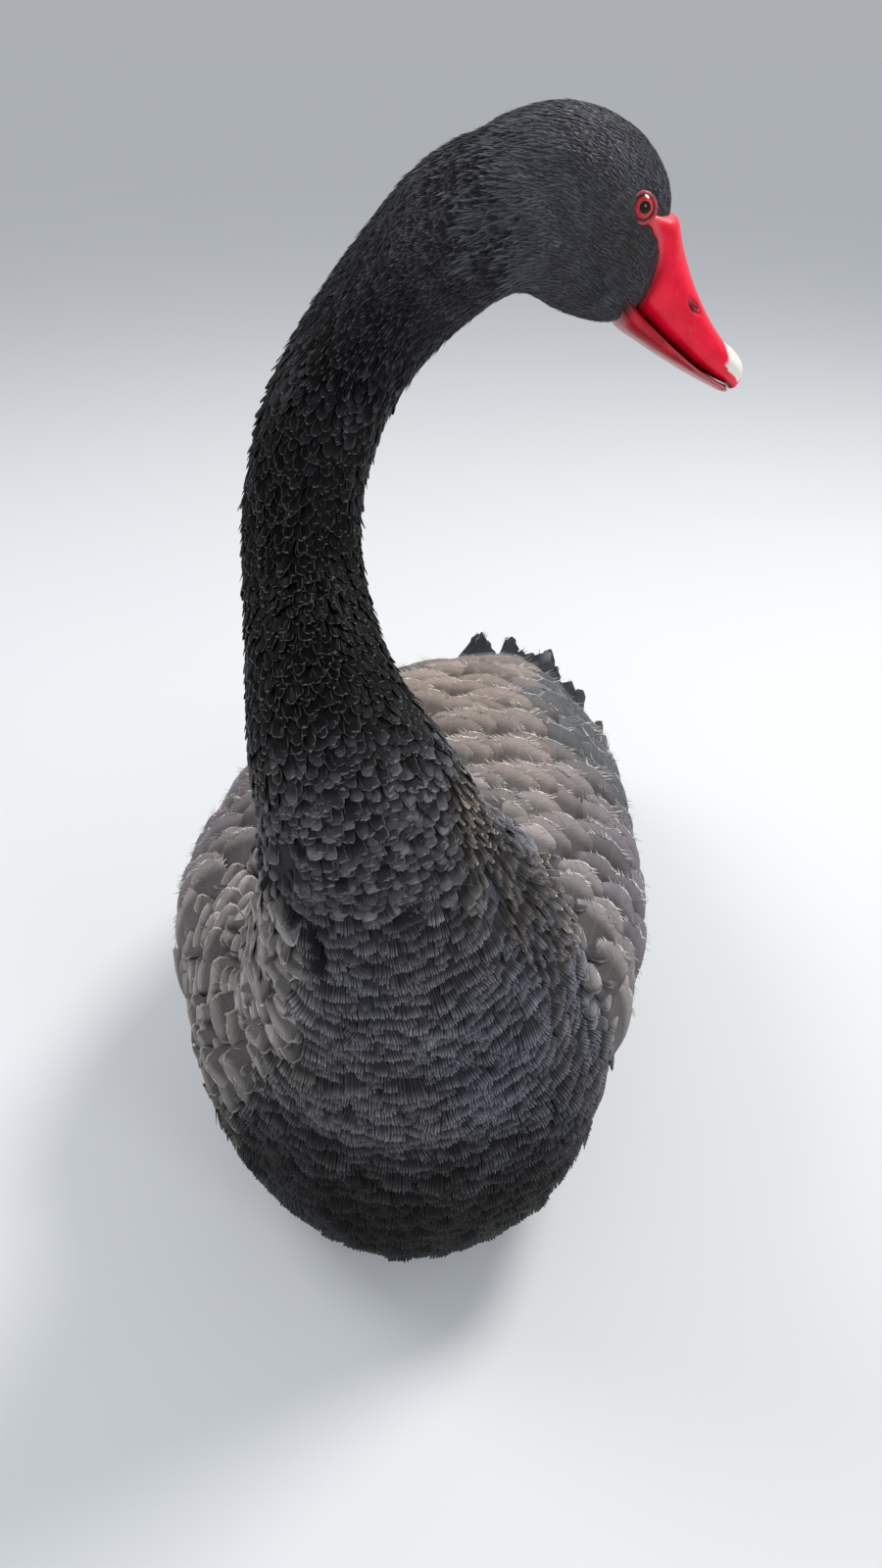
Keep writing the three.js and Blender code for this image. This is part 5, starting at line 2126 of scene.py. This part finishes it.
    def primaries(self, vanes: Vanes) -> None:
        """Add the white primaries folded under the tertials.

        Args:
            vanes: What they are added to.
        """
        above = np.arange(7)[::-1].astype(float)
        vanes.add(
            PRIMARY,
            y=168 * MM, angle=12.0 + 5.4 * above, tip_angle=33.0 + 4.6 * above,
            length=(134 - 3 * above) * MM, half=10.5 * MM, rise=5.0 * MM, tilt=1.5 * MM,
            tint=np.array([0.58, 0.56, 0.53, 0.8]),
        )

    def build(self) -> list[bpy.types.Object]:
        """Build the wing.

        Returns:
            Its pieces; the coverts replace the wing's node.
        """
        side = self.side.name.lower()
        rng = np.random.default_rng(SEED + 5 + self.side.value)
        pieces = []
        for name, finish, layers in (
            ("wing_coverts", SOFT_VANE, (self.coverts,)),
            ("wing_tertials", GLOSSY_VANE, (self.tertials, self.plumes)),
            ("wing_primaries", WHITE_VANE, (self.primaries,)),
        ):
            vanes = Vanes(self.side, rng)
            for layer in layers:
                layer(vanes)
            piece = vanes.buffer.build(f"{name}_{side}", finish.material())
            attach(piece, "root")
            pieces.append(piece)
        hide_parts(f"wing_{side}")
        return pieces


@dataclass
class Tail:
    """The tail's fan of feathers over the rump, with its coverts."""

    each_side: int = 10
    coverts: int = 8
    root: float = 268 * MM
    tip: float = 342 * MM

    def build(self) -> bpy.types.Object:
        """Build the tail.

        Returns:
            The piece, which replaces the tail's node.
        """
        rng = np.random.default_rng(SEED + 9)
        buffer = FaceBuffer()
        night = np.array([*TINTS.night, 0.35])
        sunk = 40 * MM
        for side in Side:
            vanes = Vanes(side, rng, buffer, midline=100.0)
            i = np.arange(self.each_side, dtype=float)
            vanes.add(
                TAIL_FEATHER,
                y=self.root - sunk, angle=88 - 6.5 * i, tip_angle=87 - 8.2 * i,
                length=self.tip - self.root + sunk - 0.35 * MM * i**2, half=11 * MM,
                rise=2.0 * MM - 0.7 * MM * i, tilt=1.2 * MM, tint=night,
            )
            for row, start in enumerate((212, 228, 244, 260)):
                i = np.arange(self.coverts) + 0.5 * (row % 2)
                angle = 86.0 - 16.0 * i
                vanes.add(
                    TAIL_COVERT,
                    y=start * MM + rng.normal(0, 1.5 * MM, self.coverts),
                    angle=angle, tip_angle=angle + 1.0, length=44 * MM, half=12 * MM,
                    rise=4.5 * MM, tilt=1.0 * MM, tint=night,
                )
        piece = buffer.build("tail_feathers", TAIL_VANE.material())
        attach(piece, "root")
        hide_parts("tail")
        return piece


@dataclass
class Bill:
    """The two halves of the bill, with nostrils and nail."""

    skin: bpy.types.Object
    squareness: float = 0.9
    ridge: float = 0.22
    segments: int = 56
    # Distance along the bill, height and half length
    nostril: tuple[float, float, float] = (27 * MM, 2.6 * MM, 4.6 * MM)

    def shell(self, rows: Rows, tip: tuple[float, float], steps: int) -> bmesh.types.BMesh:
        """Loft one half of the bill in the head's frame.

        Args:
            rows: Distance, top, bottom and half width of its sections.
            tip: Distance and height of the tip.
            steps: How many rings it gets.

        Returns:
            The closed form.
        """
        read = Curve(rows)
        turn = np.linspace(0, 2 * np.pi, self.segments, endpoint=False)
        cos, sin = np.cos(turn), np.sin(turn)
        across = np.sign(cos) * np.abs(cos) ** self.squareness
        height = np.sign(sin) * np.abs(sin) ** self.squareness
        # The upper side is a rounded ridge rather than a full round
        across = across * (1 - self.ridge * np.clip(sin, 0, 1) ** 2)
        rings = []
        ease = np.sin(np.linspace(0, np.pi / 2, steps))
        for f in mix(rows[0][0], rows[-1][0], ease):
            top, bottom, half = read(f)
            middle, tall = (top + bottom) / 2, (top - bottom) / 2
            ring = [np.full_like(turn, f), half * across, middle + tall * height]
            rings.append(np.stack(ring, axis=-1))
        last = rings[-1]
        heart = np.array([tip[0], 0.0, tip[1]])
        for share in (0.45, 0.8):
            bulge = last + (heart - last) * share
            bulge[:, 0] = mix(last[0, 0], tip[0], math.sqrt(share))
            rings.append(bulge)
        bm = bmesh.new()
        loft(bm, rings)
        bmesh.ops.recalc_face_normals(bm, faces=bm.faces)
        return bm

    def off_nostril(self, f: Array | float, u: Array | float) -> Array | float:
        """Return the squared distance from the nostril's middle, which is 1 at its rim."""
        middle_f, middle_u, size = self.nostril
        return ((f - middle_f) / size) ** 2 + ((u - middle_u) / (size * 0.36)) ** 2

    def pinch(self, bm: bmesh.types.BMesh) -> None:
        """Sink the nostrils and raise the nail on the upper half.

        Args:
            bm: Its form in the head's frame, which is changed in place.
        """
        for vert in bm.verts:
            f, side, u = vert.co
            if abs(side) > 5 * MM:
                near = self.off_nostril(f, u)
                vert.co.y -= math.copysign(2.6 * MM * math.exp(-near * 1.6), side)
                rim = math.exp(-((math.sqrt(near) - 1.25) ** 2) * 9)
                vert.co.y += math.copysign(0.35 * MM * rim, side)
            nail = math.exp(-(((f - 59 * MM) / (7.5 * MM)) ** 4) - (side / (6 * MM)) ** 4)
            if u > -4 * MM:
                vert.co.z += 1.0 * MM * nail

    def upper_marks(self, local: Array, gap: Array) -> tuple[Array, Array, Array]:
        """Find the rim, nail and shadow of the upper half.

        Args:
            local: Its points in the head's frame.
            gap: How far they stand off the skin.

        Returns:
            The strength of each mark.
        """
        f, side, u = local.T
        rim = np.clip(1 - np.abs(gap - 1.0 * MM) / (0.9 * MM), 0, 1) * (f < 14 * MM) * 0.55
        edge = ((f - 56.5 * MM) / (9.0 * MM)) ** 2 + ((side + 2.6 * MM) / (8.4 * MM)) ** 2
        nail = np.clip((1.0 - edge) * 5, 0, 1) * (u > -5.5 * MM)
        low = u - Curve(UPPER_BILL)(f)[:, 1]
        hole = np.clip(1.1 - self.off_nostril(f, u), 0, 1)
        return rim, nail, np.maximum(hole, np.clip(1 - low / (1.6 * MM), 0, 1) * 0.8)

    @staticmethod
    def lower_marks(local: Array) -> tuple[Array, Array, Array]:
        """Find the rim, nail and shadow of the lower half, which has no nail.

        Args:
            local: Its points in the head's frame.

        Returns:
            The strength of each mark.
        """
        f, _, u = local.T
        below = Curve(LOWER_BILL)(f)[:, 0] - u
        line = np.clip(1 - np.abs(below - 1.6 * MM) / (0.8 * MM), 0, 1)
        rim = line * 0.7 * rising(f, 12 * MM, 8 * MM)
        # Painted shadow along the seam under the upper half, and at the gape's corner dark gape skin with
        # painted shadow
        seam = np.clip(1 - below / (1.3 * MM), 0, 1)
        return rim, np.zeros_like(f), np.maximum(seam, falling(f, 8 * MM, 4 * MM))

    def finish(self, name: str, bm: bmesh.types.BMesh, horn: HornFinish) -> bpy.types.Object:
        """Place a half of the bill and mark its rim, nail and shadow.

        Args:
            name: The piece's name.
            bm: Its form in the head's frame.
            horn: Its finish.

        Returns:
            The piece.
        """
        local = np.array([vert.co for vert in bm.verts])
        bmesh.ops.transform(bm, matrix=HEAD.matrix(), verts=bm.verts)
        piece = link(name, mesh_from(bm))
        world = HEAD.world(local)
        near, normal = SkinSurface(self.skin).nearest(world)
        gap = ((world - near) * normal).sum(1)
        marks = self.upper_marks(local, gap) if name == "bill_upper" else self.lower_marks(local)
        paint(piece.data, "Mark", np.stack([*marks, np.ones_like(gap)], axis=1))
        piece.data.materials.append(horn.material())
        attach(piece, "root")
        return piece

    def build(self) -> list[bpy.types.Object]:
        """Build both halves.

        Returns:
            The two pieces, which replace the bill's nodes.
        """
        # The lower half is the crimson horn in a darker copy: painted shade under the upper half
        dark = HornFinish("bill_lower_shaded_red", base=(0.56, 0.006, 0.020), deep=(0.26, 0.003, 0.010))
        top = self.shell(UPPER_BILL, (67 * MM, -6.5 * MM), 110)
        self.pinch(top)
        upper = self.finish("bill_upper", top, HornFinish("bill_crimson"))
        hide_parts("upper_bill")
        bottom = self.shell(LOWER_BILL, (65 * MM, -10.2 * MM), 70)
        lower = self.finish("bill_lower", bottom, dark)
        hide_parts("lower_bill")
        return [upper, lower]


@dataclass
class Eye:
    """One eye: a wet ball with pupil and iris, and the ring of its lids."""

    side: Side
    cornea: float = 0.5 * MM
    cornea_angle: float = 0.87
    lid_radius: float = 4.95 * MM
    lid_thick: float = 0.85 * MM
    lid_rise: float = 3.45 * MM

    def build(self) -> list[bpy.types.Object]:
        """Build the eye and its lids.

        Returns:
            The two pieces; the ball replaces the eye's node.
        """
        way = self.side.value
        name = self.side.name.lower()
        bm = bmesh.new()
        bmesh.ops.create_uvsphere(bm, u_segments=48, v_segments=40, radius=EYES.radius)
        off = []
        for vert in bm.verts:
            angle = vert.co.angle(Vector((0, 0, 1)))
            off.append(angle / (math.pi / 2))
            if angle < self.cornea_angle:
                bulge = math.cos(angle * 1.8) ** 2
                vert.co *= 1 + self.cornea / EYES.radius * bulge
        turn = Matrix.Rotation(-way * math.pi / 2, 4, "X")
        spot = Matrix.Translation((EYES.f, way * EYES.side, EYES.u))
        bmesh.ops.transform(bm, matrix=HEAD.matrix() @ spot @ turn, verts=bm.verts)
        ball = link(f"eye_ball_{name}", mesh_from(bm))
        paint(ball.data, "Mark", np.stack([off, off, off, np.ones(len(off))], axis=1))
        ball.data.materials.append(EyeFinish().material())
        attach(ball, "root")
        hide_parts(f"eye_{name}")
        return [ball, self.lids(way, name)]

    def lids(self, way: int, name: str) -> bpy.types.Object:
        """Build the ring of bare skin round the eye.

        Args:
            way: The sign of the side.
            name: The side's name.

        Returns:
            The piece.
        """
        bm = bmesh.new()
        made = bmesh.ops.create_circle(bm, cap_ends=False, segments=12, radius=self.lid_thick)
        stand = Matrix.Rotation(math.pi / 2, 4, "X")
        stand = Matrix.Translation((self.lid_radius, 0, 0)) @ stand
        bmesh.ops.transform(bm, matrix=stand, verts=made["verts"])
        bmesh.ops.spin(
            bm, geom=bm.verts[:] + bm.edges[:], cent=(0, 0, 0), axis=(0, 0, 1),
            angle=2 * math.pi, steps=56, use_merge=True,
        )
        bmesh.ops.remove_doubles(bm, verts=bm.verts, dist=1e-6)
        for vert in bm.verts:
            x, y, z = vert.co
            turn = math.atan2(y, x)
            # A little longer than high, raised in front and behind, and softly folded
            vert.co.x *= 1.03
            vert.co.z += (0.35 * math.cos(2 * turn) + 0.12 * math.sin(9 * turn)) * MM
        bmesh.ops.recalc_face_normals(bm, faces=bm.faces)
        turn = Matrix.Rotation(-way * math.pi / 2, 4, "X")
        spot = Matrix.Translation((EYES.f, way * (EYES.side + self.lid_rise), EYES.u))
        bmesh.ops.transform(bm, matrix=HEAD.matrix() @ spot @ turn, verts=bm.verts)
        piece = link(f"eye_lids_{name}", mesh_from(bm))
        piece.data.materials.append(LID_SKIN.material())
        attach(piece, "root")
        return piece


@dataclass
class Leg:
    """A leg tucked under the flank; its node's shape stays, with a finish of its own."""

    side: Side

    def build(self) -> bpy.types.Object:
        """Dress the leg's node.

        Returns:
            The node's object.
        """
        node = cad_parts[f"leg_{self.side.name.lower()}"]
        node.data.materials.clear()
        node.data.materials.append(LEG_SKIN.material())
        return node


@dataclass
class Studio:
    """Floor, soft lights and the camera at the photo's viewing angle."""

    place: Point = (0.125, -0.638, 0.620)
    yaw: float = 11.0
    pitch: float = 32.5
    lens: float = 27.05
    sensor: float = 36.0
    aim: Point = (0.0, -0.05, 0.25)

    def floor(self) -> None:
        """Lay the pale floor."""
        bm = bmesh.new()
        bmesh.ops.create_grid(bm, x_segments=1, y_segments=1, size=40.0)
        piece = link("floor", mesh_from(bm, smooth=False))
        made = Shader("floor_pale")
        cloud = made.noise(made.place(), 2.0, 3.0)
        colour = made.blend(cloud, (0.60, 0.61, 0.62), (0.63, 0.635, 0.64))
        made.join(colour, made.shader.inputs["Base Color"])
        made.settings(
            Roughness=0.85,
            Specular_IOR_Level=0.2,
            Emission_Color=(0.80, 0.84, 0.88, 1.0),
            Emission_Strength=0.183,
        )
        piece.data.materials.append(made.material)

    def light(self, name: str, place: Point, size: float, watts: float, tint: Colour) -> None:
        """Hang one soft light that points at the swan.

        Args:
            name: Its name.
            place: Where it hangs.
            size: Its width.
            watts: Its power.
            tint: Its colour.
        """
        data = bpy.data.lights.new(name, "AREA")
        data.shape = "DISK"
        data.size = size
        data.energy = watts
        data.color = tint
        lamp = bpy.data.objects.new(name, data)
        lamp.location = place
        way = Vector(self.aim) - Vector(place)
        lamp.rotation_euler = way.to_track_quat("-Z", "Y").to_euler()
        bpy.context.scene.collection.objects.link(lamp)

    def sky(self) -> None:
        """Light the scene from all round with a pale sky."""
        world = bpy.data.worlds.new("studio")
        world.use_nodes = True
        background = world.node_tree.nodes["Background"]
        background.inputs["Color"].default_value = (0.86, 0.90, 0.95, 1.0)
        background.inputs["Strength"].default_value = 0.48
        bpy.context.scene.world = world

    def camera(self) -> None:
        """Set up the camera at the photo's viewing angle."""
        data = bpy.data.cameras.new("camera")
        data.sensor_fit = "VERTICAL"
        data.sensor_height = self.sensor
        data.lens = self.lens
        data.clip_start = 0.01
        camera = bpy.data.objects.new("camera", data)
        camera.location = self.place
        camera.rotation_euler = (math.radians(90.0 - self.pitch), 0.0, math.radians(self.yaw))
        bpy.context.scene.collection.objects.link(camera)
        bpy.context.scene.camera = camera

    def build(self) -> None:
        """Set up floor, lights, sky and camera."""
        self.floor()
        self.light("key", (0.9, 0.8, 1.9), 0.7, 34.0, (1.0, 0.98, 0.95))
        self.light("fill", (-1.4, 0.2, 1.7), 1.0, 14.0, (0.97, 0.98, 1.0))
        self.light("front", (1.5, -1.4, 1.3), 0.8, 10.0, (0.86, 0.93, 1.0))
        self.sky()
        self.camera()
        bpy.context.scene.view_settings.view_transform = "Standard"


def main() -> None:
    """Build the swan's pieces in order and report each."""
    skin = Skin().build()
    report(skin, *Coat(skin).build())
    for side in Side:
        report(*FoldedWing(side).build(), *Eye(side).build(), Leg(side).build())
    report(Tail().build(), *Bill(skin).build())
    Studio().build()


if __name__ == "__main__":
    main()
